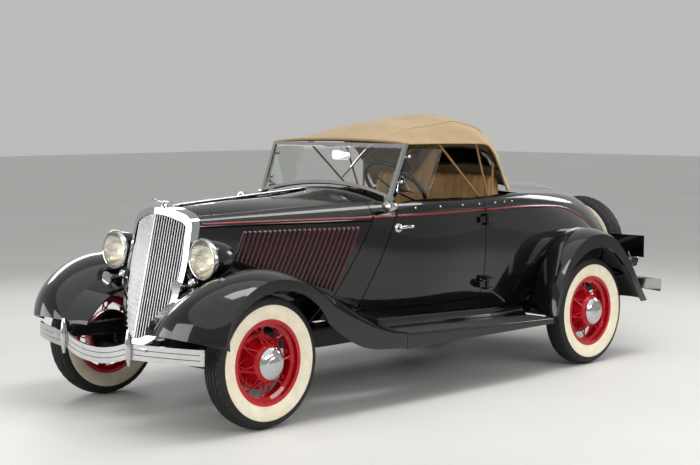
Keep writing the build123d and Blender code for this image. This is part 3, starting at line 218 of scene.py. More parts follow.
nodeLooks = [
    (chassisBlack, "frame_rails cross_members radiator front_axle rear_axle fuel_tank floor_pan "
                   "steering_column spare_carrier knuckle_left knuckle_right tie_rod"),
    (black, "cowl rear_body hood_sides front_fender_left front_fender_right rear_fender_left "
            "rear_fender_right running_boards headlamps tail_lamp_left tail_lamp_right door_left "
            "door_right hood_left hood_right rumble_lid"),
    (chrome, "radiator_shell grille_bars windshield_frame front_bumper rear_bumper horns cowl_lamps "
             "hood_ornament hood_hinge_pin"),
    (red, "wheel_front_left wheel_front_right wheel_rear_left wheel_rear_right spare_wheel"),
    (rubber, "tyre_front_left tyre_front_right tyre_rear_left tyre_rear_right spare_tyre"),
    (leather, "seat_cushion seat_back"), (engineGreen, "engine_block"), (steel, "exhaust"),
    (glass, "windshield_glass"), (lensGlass, "headlamp_lenses"), (canvas, "soft_top"),
    (bowWood, "top_frame"), (hardPlastic, "steering_wheel"),
]
for look, nodeNames in nodeLooks:
    for nodeName in nodeNames.split():
        nodes[nodeName].data.materials.clear()
        nodes[nodeName].data.materials.append(look)
print("materials done")


# Mesh helpers

def addObject(name, data):
    # A new object at the origin, in the scene's own collection
    added = bpy.data.objects.new(name, data)
    bpy.context.scene.collection.objects.link(added)
    return added


def meshPiece(name, parts, materials, body, replaced=(), smoothAngle=40):
    # Parts are (points, face blocks, material number or one per block), joined at the origin
    points, faces, numbers = [], [], []
    offset = 0
    for partPoints, blocks, number in parts:
        points.append(np.asarray(partPoints, float).reshape(-1, 3))
        for k, block in enumerate(blocks):
            faces.extend([[int(i) + offset for i in face] for face in block])
            numbers.extend([number if np.isscalar(number) else number[k]] * len(block))
        offset += len(points[-1])
    mesh = bpy.data.meshes.new(name)
    mesh.from_pydata(np.concatenate(points).tolist(), [], faces)
    mesh.polygons.foreach_set("material_index", numbers)
    work = bmesh.new()
    work.from_mesh(mesh)
    bmesh.ops.recalc_face_normals(work, faces=work.faces)
    work.to_mesh(mesh)
    work.free()
    mesh.polygons.foreach_set("use_smooth", [True] * len(mesh.polygons))
    for material in materials:
        mesh.materials.append(material)
    mesh.set_sharp_from_angle(angle=math.radians(smoothAngle))
    mesh.update()
    piece = addObject(name, mesh)
    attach(piece, body)
    if replaced:
        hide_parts(*replaced)
    return piece


def gridFaces(rows, columns, closeRows=False, closeColumns=False):
    # Quads between neighbouring points of a grid, wrapping round where it is closed
    i = np.arange(rows if closeRows else rows - 1)
    j = np.arange(columns if closeColumns else columns - 1)
    i, j = np.meshgrid(i, j, indexing="ij")
    nextI, nextJ = (i + 1) % rows, (j + 1) % columns
    return np.stack([i * columns + j, nextI * columns + j, nextI * columns + nextJ, i * columns + nextJ],
                    axis=-1).reshape(-1, 4)


def capFaces(count, start, flip):
    # One many-sided face over a ring of points
    ring = np.arange(count) + start
    return [ring[::-1] if flip else ring]


def ringFaces(rows, count):
    # Faces of a row of closed rings, with both ends capped
    return [gridFaces(rows, count, False, True), capFaces(count, 0, True),
            capFaces(count, (rows - 1) * count, False)]


def standingPlace(base, out):
    # Frame for a turned piece that stands on a surface: its axis is the surface's normal
    first = np.cross(out, (0, 0, 1.0))
    first /= np.linalg.norm(first)
    return base, first, out, np.cross(first, out)


def turned(profile, place, segments, closed, number=0):
    # A profile of (radius, along) turned about the axis of a place: centre and three directions
    profile = np.asarray(profile, float)
    centre, first, axis, second = (np.asarray(v, float) for v in place)
    angle = np.linspace(0, 2 * math.pi, segments, endpoint=False)
    radial = np.cos(angle)[:, None] * first + np.sin(angle)[:, None] * second
    points = centre + radial[:, None, :] * profile[None, :, 0, None] + profile[None, :, 1, None] * axis
    return points, [gridFaces(segments, len(profile), True, closed)], number


def tube(path, radii, sides, number=0, flat=(1.0, 1.0), up=(0, 0, 1)):
    # Rings of given radii along a path, square to it, with both ends closed
    path = np.asarray(path, float)
    radii = np.broadcast_to(np.asarray(radii, float), len(path))
    ahead = np.gradient(path, axis=0)
    ahead /= np.linalg.norm(ahead, axis=1)[:, None]
    side = np.cross(ahead, np.asarray(up, float))
    side /= np.linalg.norm(side, axis=1)[:, None]
    top = np.cross(side, ahead)
    angle = np.linspace(0, 2 * math.pi, sides, endpoint=False)
    ring = (np.cos(angle)[None, :, None] * side[:, None, :] * flat[0]
            + np.sin(angle)[None, :, None] * top[:, None, :] * flat[1])
    points = path[:, None, :] + ring * radii[:, None, None]
    faces = [gridFaces(len(path), sides, False, True)[:, ::-1], capFaces(sides, 0, False),
             capFaces(sides, (len(path) - 1) * sides, True)]
    return points, faces, number


def smoothPath(points, count):
    # Smooth curve through the points: a cubic between each two, evenly stepped
    p = np.asarray(points, float)
    p = np.vstack([2 * p[0] - p[1], p, 2 * p[-1] - p[-2]])
    u = np.linspace(0, len(p) - 3 - 1e-9, count)
    k = u.astype(int)
    t = (u - k)[:, None]
    a, b, c, d = p[k], p[k + 1], p[k + 2], p[k + 3]
    bend, twist = 2 * a - 5 * b + 4 * c - d, 3 * b - a - 3 * c + d
    return 0.5 * (2 * b + (c - a) * t + bend * t ** 2 + twist * t ** 3)


surfaceTrees = {}


def onSurface(node, origins, direction):
    # Where straight lines from the origins meet a CAD node: points and outward normals
    if node not in surfaceTrees:
        mesh = nodes[node].data
        corners = [v.co.copy() for v in mesh.vertices]
        surfaceTrees[node] = BVHTree.FromPolygons(corners, [list(f.vertices) for f in mesh.polygons])
    way = Vector(direction).normalized()
    found = [surfaceTrees[node].ray_cast(Vector(o), way) for o in np.asarray(origins, float).reshape(-1, 3)]
    points = np.array([f[0] if f[0] is not None else (np.nan,) * 3 for f in found])
    normals = np.array([f[1] if f[0] is not None else (np.nan,) * 3 for f in found])
    flip = np.sum(normals * np.asarray(direction, float), axis=1) > 0
    normals[flip] *= -1
    return points, normals


def raisedStrip(node, path, across, direction, halfWidth, rise, number=0, sink=0.0015):
    # A moulding on a CAD surface: a half-round of that rise, its back just under the surface
    path, across = np.asarray(path, float), np.asarray(across, float)
    count = 9
    section = np.linspace(-1, 1, count)
    spots = path[:, None, :] + across * (section * halfWidth)[None, :, None]
    points, normals = onSurface(node, spots, direction)
    height = np.tile(rise * np.sqrt(np.clip(1 - section ** 2, 0, 1)), len(path))
    top = (points + normals * height[:, None]).reshape(len(path), count, 3)
    back = (points - normals * sink).reshape(len(path), count, 3)
    kept = ~np.isnan(top).any(axis=(1, 2))
    ring = np.concatenate([top[kept], back[kept][:, ::-1]], axis=1)
    return ring, ringFaces(len(ring), 2 * count), number


def sheetPart(outer, inner, number=0):
    # A thin closed sheet: outer and inner grids joined round their four edges
    rows, columns = outer.shape[:2]
    count = rows * columns
    grid = gridFaces(rows, columns)
    index = np.arange(count).reshape(rows, columns)
    border = np.concatenate([index[0], index[1:, -1], index[-1, -2::-1], index[-2:0:-1, 0]])
    after = np.roll(border, -1)
    rim = np.stack([border, after, after + count, border + count], axis=1)
    points = np.concatenate([outer.reshape(-1, 3), inner.reshape(-1, 3)])
    return points, [grid[:, ::-1], grid + count, rim], number


def gridNormals(points):
    # Unit normals of a grid from its two directions
    normal = np.cross(np.gradient(points, axis=0), np.gradient(points, axis=1))
    return normal / np.linalg.norm(normal, axis=2)[:, :, None]


def surfacePatch(node, origins, direction, rise, number=0, sink=0.0015):
    # A sheet laid on a CAD surface, as thick as rise at each grid point
    rows, columns = origins.shape[:2]
    points, normals = onSurface(node, origins, direction)
    rise = np.broadcast_to(np.asarray(rise, float), (rows, columns)).reshape(-1, 1)
    outer = (points + normals * rise).reshape(rows, columns, 3)
    return sheetPart(outer, (points - normals * sink).reshape(rows, columns, 3), number)


def chromePiece(name, parts, replaced=()):
    # Plated trim that stays with the body
    return meshPiece(name, parts, [chrome], "chassis", replaced)


def dome(place, radius, low, rise, segments=32, number=0, foot=0.002):
    # A closed cap: part of a sphere over a short foot
    angle = np.linspace(0, math.pi / 2, 9)
    profile = [(0.0005, low - foot), (radius, low - foot)]
    profile += [(max(radius * math.cos(a), 0.0005), low + rise * math.sin(a)) for a in angle]
    return turned(profile, place, segments, True, number)


# Camera, light and floor

photoCamera = {"place": (6.7067, 6.3917, 1.6777), "yaw": -135.38, "pitch": -4.9, "lens": 74.85,
               "shift": (-0.0096, 0.0036)}
cameraData = bpy.data.cameras.new("photo_camera")
cameraData.lens = photoCamera["lens"]
cameraData.sensor_width = 36.0
cameraData.shift_x, cameraData.shift_y = photoCamera["shift"]
cameraObject = addObject("photo_camera", cameraData)
yaw, pitch = (math.radians(photoCamera[key]) for key in ("yaw", "pitch"))
sight = Vector((math.cos(yaw) * math.cos(pitch), math.sin(yaw) * math.cos(pitch), math.sin(pitch)))
cameraObject.location = photoCamera["place"]
cameraObject.rotation_euler = sight.to_track_quat("-Z", "Y").to_euler()
bpy.context.scene.camera = cameraObject

bpy.context.scene.view_settings.view_transform = "Standard"
world = bpy.data.worlds.new("studio")
bpy.context.scene.world = world
world.use_nodes = True
sky = world.node_tree
rays = addNode(sky, "ShaderNodeLightPath")
background = sky.nodes["Background"]
seen = addNode(sky, "ShaderNodeMath", {"operation": "MAXIMUM"}, i0=rays.outputs["Is Camera Ray"],
               i1=rays.outputs["Is Glossy Ray"])
seen = addNode(sky, "ShaderNodeMath", {"operation": "MAXIMUM"}, i0=seen.outputs["Value"],
               i1=rays.outputs["Is Transmission Ray"])
shade = addNode(sky, "ShaderNodeMix", {"data_type": "RGBA", 6: srgb("#8a8b8d"), 7: srgb("#d9d9d8")},
                i0=seen.outputs["Value"])
sky.links.new(shade.outputs[2], background.inputs["Color"])
background.inputs["Strength"].default_value = 0.72

softBoxes = [
    # name, place, aim, width, height, watts
    ("top_box", (0.2, 1.4, 4.4), (0.0, 0.0, 0.6), 5.4, 1.2, 150.0),
    ("left_box", (0.6, 5.6, 2.3), (0.0, 0.0, 0.8), 5.0, 0.9, 120.0),
    ("front_box", (6.8, -1.0, 2.0), (1.9, 0.0, 0.8), 3.6, 2.6, 130.0),
    ("front_right_box", (5.6, -4.4, 1.2), (2.1, 0.0, 0.6), 3.6, 2.0, 80.0),
    ("rear_box", (-5.4, 1.2, 3.0), (-1.2, 0.2, 0.8), 2.4, 1.6, 80.0),
    ("right_box", (-0.6, -5.4, 3.0), (0.0, 0.0, 0.8), 4.6, 1.0, 80.0),
]
skyLight = bpy.data.lights.new("soft_sky", "SUN")
skyLight.energy = 1.3
skyLight.angle = math.radians(100)
skyObject = addObject("soft_sky", skyLight)
skyObject.rotation_euler = (math.radians(-18), math.radians(12), 0)
for boxName, boxPlace, boxAim, boxWidth, boxHeight, watts in softBoxes:
    lamp = bpy.data.lights.new(boxName, "AREA")
    lamp.shape = "RECTANGLE"
    lamp.size, lamp.size_y = boxWidth, boxHeight
    lamp.energy = watts
    lampObject = addObject(boxName, lamp)
    lampObject.location = boxPlace
    lampObject.rotation_euler = (Vector(boxAim) - Vector(boxPlace)).to_track_quat("-Z", "Y").to_euler()

floorPaint, floorTree, floorShader, floorPlace = newMaterial(
    "pale_studio_floor", "#c9c8c4", {"Specular IOR Level": 0.2})
mottle(floorTree, floorPlace, floorShader, "#c6c5c1", "#cdccc9", 0.6)
roughen(floorTree, floorPlace, floorShader, 0.45, 0.55, 1.5)
floorMesh = bpy.data.meshes.new("studio_floor")
floorReach = 40.0
floorCorners = [(a * floorReach, b * floorReach, 0) for a, b in ((-1, -1), (1, -1), (1, 1), (-1, 1))]
floorMesh.from_pydata(floorCorners, [], [(0, 1, 2, 3)])
floorMesh.materials.append(floorPaint)
floorObject = addObject("studio_floor", floorMesh)
print("stage done")


# Wheels and tyres

wheelPlaces = {
    # name: (body, centre, first, axis, second)
    "front_left": ("wheel_front_left", (frontAxleX, 0.701, axleZ), (1, 0, 0), (0, 1, 0), (0, 0, 1)),
    "front_right": ("wheel_front_right", (frontAxleX, -0.701, axleZ), (-1, 0, 0), (0, -1, 0), (0, 0, 1)),
    "rear_left": ("wheel_rear_left", (rearAxleX, 0.720, axleZ), (1, 0, 0), (0, 1, 0), (0, 0, 1)),
    "rear_right": ("wheel_rear_right", (rearAxleX, -0.720, axleZ), (-1, 0, 0), (0, -1, 0), (0, 0, 1)),
    "spare": ("chassis", (-2.137, 0.0, 0.690), (0, 1, 0), (-1, 0, 0), (0, 0, 1)),
}
tyreShape = {
    # side wall and bead as (radius, half width)
    "side": [(0.217, 0.0505), (0.231, 0.056), (0.240, 0.0615), (0.262, 0.0685), (0.285, 0.0712),
             (0.298, 0.0711), (0.305, 0.0705), (0.3075, 0.0688), (0.322, 0.0672), (0.332, 0.0625),
             (0.338, 0.0585), (0.3425, 0.0555)],
    "bead": [(0.2165, 0.030), (0.2165, -0.030)], "whiteFrom": 1, "whiteTo": 7,
    "treadHalf": 0.0525, "treadRadius": 0.3455, "crown": 0.356, "zigzag": 0.0028,
    "grooves": (-0.034, -0.0115, 0.0115, 0.034), "grooveHalf": 0.0032, "grooveDepth": 0.006,
    "segments": 240, "lugEvery": 6, "lugFrom": 0.040, "lugDepth": 0.005,
}


def tyrePart(place):
    # Side walls from a profile, crown as a shallow arc with grooves, cut into lugs at the shoulders
    shape = tyreShape
    side = np.array(shape["side"])
    across = np.linspace(-1, 1, 57) * shape["treadHalf"]
    drop = shape["crown"] - shape["treadRadius"]
    crown = shape["crown"] - drop * (across / shape["treadHalf"]) ** 2
    angle = np.arange(shape["segments"])
    zigzag = shape["zigzag"] * np.where((angle // 3) % 2 == 0, 1, -1)
    depth = np.zeros((shape["segments"], len(across)))
    for groove in shape["grooves"]:
        near = np.abs(across[None, :] - groove - zigzag[:, None]) < shape["grooveHalf"]
        depth = np.where(near, shape["grooveDepth"], depth)
    sipe = (angle % shape["lugEvery"] < 2)[:, None] & (np.abs(across) > shape["lugFrom"])[None, :]
    depth = np.where(sipe, shape["lugDepth"], depth)
    tread = np.stack([crown[None, :] - depth, np.broadcast_to(across, depth.shape)], axis=-1)
    walls = np.broadcast_to(side, (shape["segments"], *side.shape))
    inner = np.broadcast_to(np.array(shape["bead"]), (shape["segments"], 2, 2))
    ring = np.concatenate([walls * np.array([1, -1]), tread, walls[:, ::-1], inner], axis=1)
    centre, first, axis, second = (np.asarray(v, float) for v in place)
    turn = angle * 2 * math.pi / shape["segments"]
    radial = np.cos(turn)[:, None] * first + np.sin(turn)[:, None] * second
    points = centre + radial[:, None, :] * ring[:, :, 0, None] + ring[:, :, 1, None] * axis
    faces = gridFaces(shape["segments"], ring.shape[1], True, True)
    column = np.arange(ring.shape[1])
    last = ring.shape[1] - 3
    white = ((column >= shape["whiteFrom"]) & (column < shape["whiteTo"])) | (
        (column >= last - shape["whiteTo"]) & (column < last - shape["whiteFrom"]))
    isWhite = np.tile(white, shape["segments"])
    return points, faces[~isWhite], faces[isWhite]


wheelShape = {
    # profiles as (radius, distance outward from the wheel's middle)
    "rim": [(0.190, 0.020), (0.210, 0.028), (0.210, 0.0554), (0.2335, 0.0562), (0.2350, 0.0535),
            (0.2335, 0.0508), (0.2165, 0.0505), (0.2160, 0.024), (0.196, 0.018)],
    "bell": [(0.128, -0.022), (0.1275, -0.012), (0.1205, 0.004), (0.112, 0.022), (0.1075, 0.042),
             (0.1045, 0.058), (0.0985, 0.068), (0.0925, 0.073), (0.090, 0.078), (0.084, 0.0795),
             (0.060, 0.0795), (0.024, 0.0795)],
    "drum": [(0.024, -0.0695), (0.146, -0.0695), (0.150, -0.066), (0.150, -0.026), (0.147, -0.022),
             (0.128, -0.021)],
    "cap": [(0.0850, 0.0765), (0.0868, 0.0800), (0.0868, 0.0845), (0.0845, 0.0875), (0.0810, 0.0885),
            (0.0780, 0.0925), (0.0700, 0.0985), (0.0580, 0.1050), (0.0430, 0.1098), (0.0410, 0.1092),
            (0.0390, 0.1103), (0.0200, 0.1140), (0.0060, 0.1149), (0.0005, 0.115), (0.0005, 0.0765)],
    "spokes": 16, "lean": 14.0, "spokeRadius": 0.0040,
    # hub radius, hub offset, rim radius, rim offset
    "spokeSets": [(0.100, 0.056, 0.194, -0.010), (0.118, -0.004, 0.194, 0.012)],
    # share of a spoke's length and thickness there: the last stretch is the nipple
    "spokeSteps": [(0.0, 1.5), (0.06, 1.0), (0.86, 1.0), (0.87, 1.7), (0.98, 1.7), (1.0, 1.4)],
}


def spokeParts(place):
    # Two crossed sets of wires from bell to rim, each with a nipple where it meets the rim
    centre, first, axis, second = (np.asarray(v, float) for v in place)
    steps, thickness = np.array(wheelShape["spokeSteps"]).T
    parts = []
    for setNumber, (hubR, hubW, rimR, rimW) in enumerate(wheelShape["spokeSets"]):
        for k in range(wheelShape["spokes"]):
            turn = math.radians(360 / wheelShape["spokes"] * (k + setNumber / 2))
            lean = math.radians(wheelShape["lean"] * (1 if k % 2 else -1))
            start, stop = (centre + r * (math.cos(a) * first + math.sin(a) * second) + w * axis
                           for a, r, w in ((turn, hubR, hubW), (turn + lean, rimR, rimW)))
            parts.append(tube(start + (stop - start) * steps[:, None], thickness * wheelShape["spokeRadius"],
                              8, 0, up=axis))
    return parts


for wheelName, (wheelBody, *wheelPlace) in wheelPlaces.items():
    tyreNode = "spare_tyre" if wheelName == "spare" else "tyre_" + wheelName
    wheelNode = "spare_wheel" if wheelName == "spare" else "wheel_" + wheelName
    tyrePoints, blackFaces, whiteFaces = tyrePart(wheelPlace)
    meshPiece("treaded_" + tyreNode, [(tyrePoints, [blackFaces, whiteFaces], (0, 1))], [rubber, whitewall],
              wheelBody, [tyreNode])
    farRim = [(r, -w) for r, w in reversed(wheelShape["rim"])]
    wheelParts = [turned(wheelShape["rim"] + farRim, wheelPlace, 96, True),
                  turned(wheelShape["drum"] + wheelShape["bell"], wheelPlace, 72, True)]
    meshPiece("wire_" + wheelNode, wheelParts + spokeParts(wheelPlace), [red], wheelBody,
              [wheelNode])
    meshPiece("hub_cap_" + wheelName, [turned(wheelShape["cap"], wheelPlace, 64, True)], [chrome],
              wheelBody)
print("wheels done")

# Fabric top

topShape = {
    # x from the front axle, angle from forward, half width, edge and crown distance from a line along Y
    "rows": [(-1.268, 90, 0.578, 0.332, 0.352), (-1.560, 90, 0.602, 0.330, 0.440),
             (-1.900, 90, 0.608, 0.322, 0.492), (-1.900, 112, 0.606, 0.302, 0.530),
             (-1.900, 132, 0.600, 0.268, 0.600), (-1.900, 158, 0.596, 0.258, 0.600),
             (-1.900, 176.6, 0.590, 0.292, 0.686)],
    "originZ": 1.150, "thickness": 0.003, "along": 150, "across": 91, "bows": (1.0, 2.0, 4.0),
    "sag": 0.0045, "pull": 0.0012, "lay": 0.001,
    # edge binding and the two long seams: radius, and share of it across or through the fabric
    "edgeRadius": 0.0075, "edgeFlat": 0.55, "edgeSink": -0.0015,
    "seamAt": 0.52, "seamRadius": 0.007, "seamFlat": 0.22, "seamRise": 0.0005,
    "snapRow": 5.86, "snapSides": np.linspace(-0.9, 0.9, 11), "snapRadius": 0.0065, "snapRise": 0.0035,
}


def topPoints(u, t):
    # Arch sections fanned along the car: u runs from the header (0) to the deck (6), t from side to side
    rows = np.array(topShape["rows"])
    table = smoothPath(rows, 601)
    at = np.linspace(0, len(rows) - 1, 601)
    x, angle, half, edge, crown = (np.interp(u, at, table[:, k]) for k in range(5))
    a = np.abs(t)
    past = a - 0.72
    arch = np.where(past < 0, 1 - 0.44 * (a / 0.72) ** 2, 0.56 - 1.345 * past - 2.339 * past ** 2)
    bows = np.array((0.0, *topShape["bows"], 6.0))
    k = np.clip(np.searchsorted(bows, u, side="right") - 1, 0, len(bows) - 2)
    between = (u - bows[k]) / (bows[k + 1] - bows[k])
    sag = topShape["sag"] * np.sin(math.pi * between) ** 2 * (1 - a ** 4)
    pull = topShape["pull"] * np.sin(9 * u + 5 * t) * np.sin(14 * t * (1 + 0.2 * u)) * a * (1 - a ** 6)
    r = edge + (crown - edge) * arch - np.where(u > 4, 0.4, 1.0) * sag + pull - topShape["lay"]
    lean = np.radians(angle)
    return np.stack([frontAxleX + x + r * np.cos(lean), half * t, topShape["originZ"] + r * np.sin(lean)],
                    axis=-1)


def topGrid(u0, u1, t0, t1, rows, columns, lift):
    # Part of the fabric's surface, moved out by lift
    u, t = np.meshgrid(np.linspace(u0, u1, rows), np.linspace(t0, t1, columns), indexing="ij")
    points = topPoints(u, t)
    normal = gridNormals(points)
    normal *= np.where(normal[:, :, 2:3].mean() < 0, -1, 1)
    return points + normal * lift


def topLine(u, t, lift):
    # A line on the fabric, moved out along the fabric's normal
    step = 1e-3
    here = topPoints(u, t)
    normal = np.cross(topPoints(u + step, t) - here, topPoints(u, t + step) - here)
    normal /= np.linalg.norm(normal, axis=1)[:, None]
    normal *= np.sign(np.sum(normal * (here - np.array([-0.25, 0, 1.0])), axis=1))[:, None]
    return here + normal * lift, normal


topSides = [topGrid(0, 6, -1, 1, topShape["along"], topShape["across"], lift)
            for lift in (0.0, -topShape["thickness"])]
topPiece = meshPiece("canvas_top", [sheetPart(*topSides)], [canvas], "chassis", ["soft_top"])

edgeRun = np.linspace(0.02, 5.98, 120)
sideRun = np.linspace(-0.99, 0.99, 80)
bindingParts = []
for t in (-0.995, 0.995):
    line, _ = topLine(edgeRun, np.full_like(edgeRun, t), topShape["edgeSink"])
    bindingParts.append(tube(line, topShape["edgeRadius"], 10, 0, (topShape["edgeFlat"], 1.0), (0, 1, 0)))
for u in (0.02, 5.97):
    line, _ = topLine(np.full_like(sideRun, u), sideRun, topShape["edgeSink"])
    bindingParts.append(tube(line, topShape["edgeRadius"], 10, 0, (1.0, topShape["edgeFlat"]), (1, 0, 0.2)))
for sign in (-1, 1):
    line, _ = topLine(edgeRun[:100], np.full(100, sign * topShape["seamAt"]), topShape["seamRise"])
    bindingParts.append(tube(line, topShape["seamRadius"], 8, 0, (1.0, topShape["seamFlat"])))
topBinding = meshPiece("top_binding", bindingParts, [binding], "chassis")

windowShape = {"u": (4.75, 5.27), "t": (-0.62, 0.62), "lifts": (0.0022, -0.0052), "rim": 0.009,
               "rimFlat": 0.35}
panes = [topGrid(*windowShape["u"], *windowShape["t"], 12, 40, lift) for lift in windowShape["lifts"]]
rearPane = meshPiece("rear_window_pane", [sheetPart(*panes)], [shadeTintedPane], "chassis")
frameParts = []
for lift in windowShape["lifts"]:
    for u in windowShape["u"]:
        line, _ = topLine(np.full(60, u), np.linspace(*windowShape["t"], 60), lift)
        frameParts.append(tube(line, windowShape["rim"], 8, 0, (1.0, windowShape["rimFlat"]), (-0.8, 0, 0.5)))
    for t in windowShape["t"]:
        line, _ = topLine(np.linspace(*windowShape["u"], 20), np.full(20, t), lift)
        frameParts.append(tube(line, windowShape["rim"], 8, 0, (1.0, windowShape["rimFlat"]), (0, 1, 0)))
rearFrame = meshPiece("rear_window_frame", frameParts, [matRubber], "chassis")

snapParts = []
for t in topShape["snapSides"]:
    line, normal = topLine(np.array([topShape["snapRow"]]), np.array([t]), 0.0)
    snapParts.append(dome(standingPlace(line[0], normal[0]), topShape["snapRadius"], 0.0,
                          topShape["snapRise"], 16))
topSnaps = chromePiece("top_snaps", snapParts)
print("top done")


# Seats

seatShapes = {
    # outline in side view as (x from the front axle, z), pleats across the car
    "seat_cushion": {
        "outline": [(-1.698, 0.645), (-1.693, 0.700), (-1.695, 0.760), (-1.715, 0.790), (-1.770, 0.799),
                    (-1.880, 0.793), (-1.980, 0.789), (-2.035, 0.786), (-2.046, 0.760), (-2.047, 0.700),
                    (-2.046, 0.645), (-1.980, 0.643), (-1.870, 0.643), (-1.760, 0.643)],
        "pitch": 0.079, "depth": 0.008, "half": 0.512, "crown": 0.006},
    "seat_back": {
        "outline": [(-2.100, 0.645), (-2.080, 0.720), (-2.060, 0.800), (-2.072, 0.900), (-2.090, 1.010),
                    (-2.107, 1.120), (-2.121, 1.210), (-2.140, 1.255), (-2.170, 1.268), (-2.203, 1.256),
                    (-2.222, 1.225), (-2.219, 1.100), (-2.216, 0.950), (-2.213, 0.800), (-2.210, 0.645),
                    (-2.150, 0.643)],
        "pitch": 0.064, "depth": 0.009, "half": 0.512, "crown": 0.006},
}


def seatPart(shape):
    # A side outline carried across the car, drawn in at both ends, with rounded pleats on its faces
    outline = np.array(shape["outline"])
    ring = smoothPath(np.vstack([outline, outline[:1]]), 97)[:-1]
    middle = ring.mean(axis=0)
    y = np.sin(np.linspace(-math.pi / 2, math.pi / 2, 161)) * shape["half"]
    y = np.linspace(-1, 1, 241) * shape["half"] * 0.6 + y[np.linspace(0, 160, 241).astype(int)] * 0.4
    share = np.abs(y) / shape["half"]
    shrink = 1 - 0.35 * np.clip((share - 0.93) / 0.07, 0, 1) ** 2.2
    tangent = np.roll(ring, -1, axis=0) - np.roll(ring, 1, axis=0)
    out = np.stack([tangent[:, 1], -tangent[:, 0]], axis=1)
    out /= np.linalg.norm(out, axis=1)[:, None]
    out *= np.sign(np.sum(out * (ring - middle), axis=1).sum())
    shown = np.clip((ring[:, 1] - ring[:, 1].min() - 0.03) / 0.06, 0, 1)
    pleat = np.abs(np.sin(math.pi * y / shape["pitch"])) ** 0.55 - 1
    pleat = np.where(share > 0.955, 0, pleat)
    swell = (pleat * shape["depth"] - shape["crown"] * share ** 4)[:, None] * shown[None, :]
    flat = middle + (ring - middle)[None] * shrink[:, None, None] + out[None] * swell[:, :, None]
    points = np.stack([flat[:, :, 0] + frontAxleX, np.broadcast_to(y[:, None], swell.shape), flat[:, :, 1]],
                      axis=-1)
    return points, ringFaces(len(y), len(ring)), 0


for seatName, seatShape in seatShapes.items():
    seatPiece = meshPiece("pleated_" + seatName, [seatPart(seatShape)], [leather], "chassis",
                          [seatName])
print("seats done")


# Headlamps, cowl lamps and tail lamps

def lampPlace(x, y, z, ahead=1):
    # Frame whose axis points forward, or rearward
    return (x, y, z), (0, ahead, 0), (ahead, 0, 0), (0, 0, -1)


headShape = {
    "x": frontAxleX + 0.141, "y": 0.393, "z": 0.884,
    "bucket": [(0.1065, -0.016), (0.1062, -0.022), (0.1040, -0.050), (0.0985, -0.085), (0.0890, -0.125),
               (0.0740, -0.165), (0.0520, -0.198), (0.0270, -0.218), (0.0005, -0.2248), (0.0005, -0.222),
               (0.026, -0.214), (0.050, -0.194), (0.071, -0.162), (0.086, -0.123), (0.0955, -0.084),
               (0.101, -0.050), (0.103, -0.016)],
    "rim": [(0.1005, -0.018), (0.1100, -0.0185), (0.1140, -0.0160), (0.1150, -0.0110), (0.1145, -0.0050),
            (0.1120, 0.0030), (0.1080, 0.0080), (0.1035, 0.0098), (0.1005, 0.0085), (0.0995, 0.0040)],
    "lens": [(0.0995, 0.0030), (0.0980, 0.0080), (0.0900, 0.0120), (0.0720, 0.0165), (0.0480, 0.0196),
             (0.0240, 0.0210), (0.0005, 0.0213), (0.0005, 0.0178), (0.0240, 0.0175), (0.0480, 0.0160),
             (0.0720, 0.0130), (0.0880, 0.0090), (0.0960, 0.0045), (0.0975, 0.0010)],
    "reflector": [(0.0990, 0.0000), (0.0920, -0.0200), (0.0800, -0.0430), (0.0620, -0.0650),
                  (0.0400, -0.0800), (0.0150, -0.0880), (0.0005, -0.0890), (0.0005, -0.0905),
                  (0.0155, -0.0895), (0.0410, -0.0815), (0.0635, -0.0662), (0.0815, -0.0440),
                  (0.0937, -0.0205), (0.1005, 0.0000)],
    "postBack": 0.095, "postTop": 0.085, "postRadius": 0.0155, "bulbBack": 0.072,
}
smallLamps = {
    "cowl": (frontAxleX - 1.030, 0.640, 1.123), "tail": (rearAxleX - 0.755, 0.600, 0.626),
    "tailRim": [(0.0362, -0.010), (0.0448, -0.0104), (0.0452, 0.0020), (0.0442, 0.0058), (0.0400, 0.0072),
                (0.0362, 0.0060)],
}
for sideName, sign in sides.items():
    lampY = sign * headShape["y"]
    place = lampPlace(headShape["x"], lampY, headShape["z"])
    postX = headShape["x"] - headShape["postBack"]
    foot, _ = onSurface("front_fender_" + sideName, [(postX, lampY, 1.4)], (0, 0, -1))
    reach = np.linspace(headShape["z"] - headShape["postTop"], foot[0][2] - 0.004, 12)
    share = np.linspace(0, 1, 12)
    flare = 0.020 * np.clip(share - 0.62, 0, 1) ** 1.6 / 0.38 ** 1.6
    girth = headShape["postRadius"] + flare + 0.010 * np.clip(0.25 - share, 0, 1) * 4
    post = tube(np.stack([np.full(12, postX), np.full(12, lampY), reach], axis=1), girth, 20, 0, up=(1, 0, 0))
    meshPiece("headlamp_bucket_" + sideName, [turned(headShape["bucket"], place, 56, True), post], [black],
              "chassis", ["headlamps"])
    chromePiece("headlamp_rim_" + sideName, [turned(headShape["rim"], place, 72, True)])
    bulbPlace = lampPlace(headShape["x"] - headShape["bulbBack"], lampY, headShape["z"])
    meshPiece("headlamp_reflector_" + sideName,
              [turned(headShape["reflector"], place, 56, True), dome(bulbPlace, 0.011, 0.0, 0.018, 20)],
              [reflectorSilver], "chassis")
    meshPiece("headlamp_lens_" + sideName, [turned(headShape["lens"], place, 72, True)], [lensGlass],
              "chassis", ["headlamp_lenses"])
    (cowlX, cowlY, cowlZ), (tailX, tailY, tailZ) = smallLamps["cowl"], smallLamps["tail"]
    meshPiece("cowl_lamp_lens_" + sideName,
              [dome(lampPlace(cowlX, sign * cowlY, cowlZ), 0.0298, 0.0047, 0.0085)], [lensGlass],
              "chassis")
    tailPlace = lampPlace(tailX, sign * tailY, tailZ, -1)
    meshPiece("tail_lamp_lens_" + sideName, [dome(tailPlace, 0.0358, 0.0047, 0.0085)], [redGlass],
              "chassis")
    chromePiece("tail_lamp_rim_" + sideName, [turned(smallLamps["tailRim"], tailPlace, 48, True)])
print("lamps done")


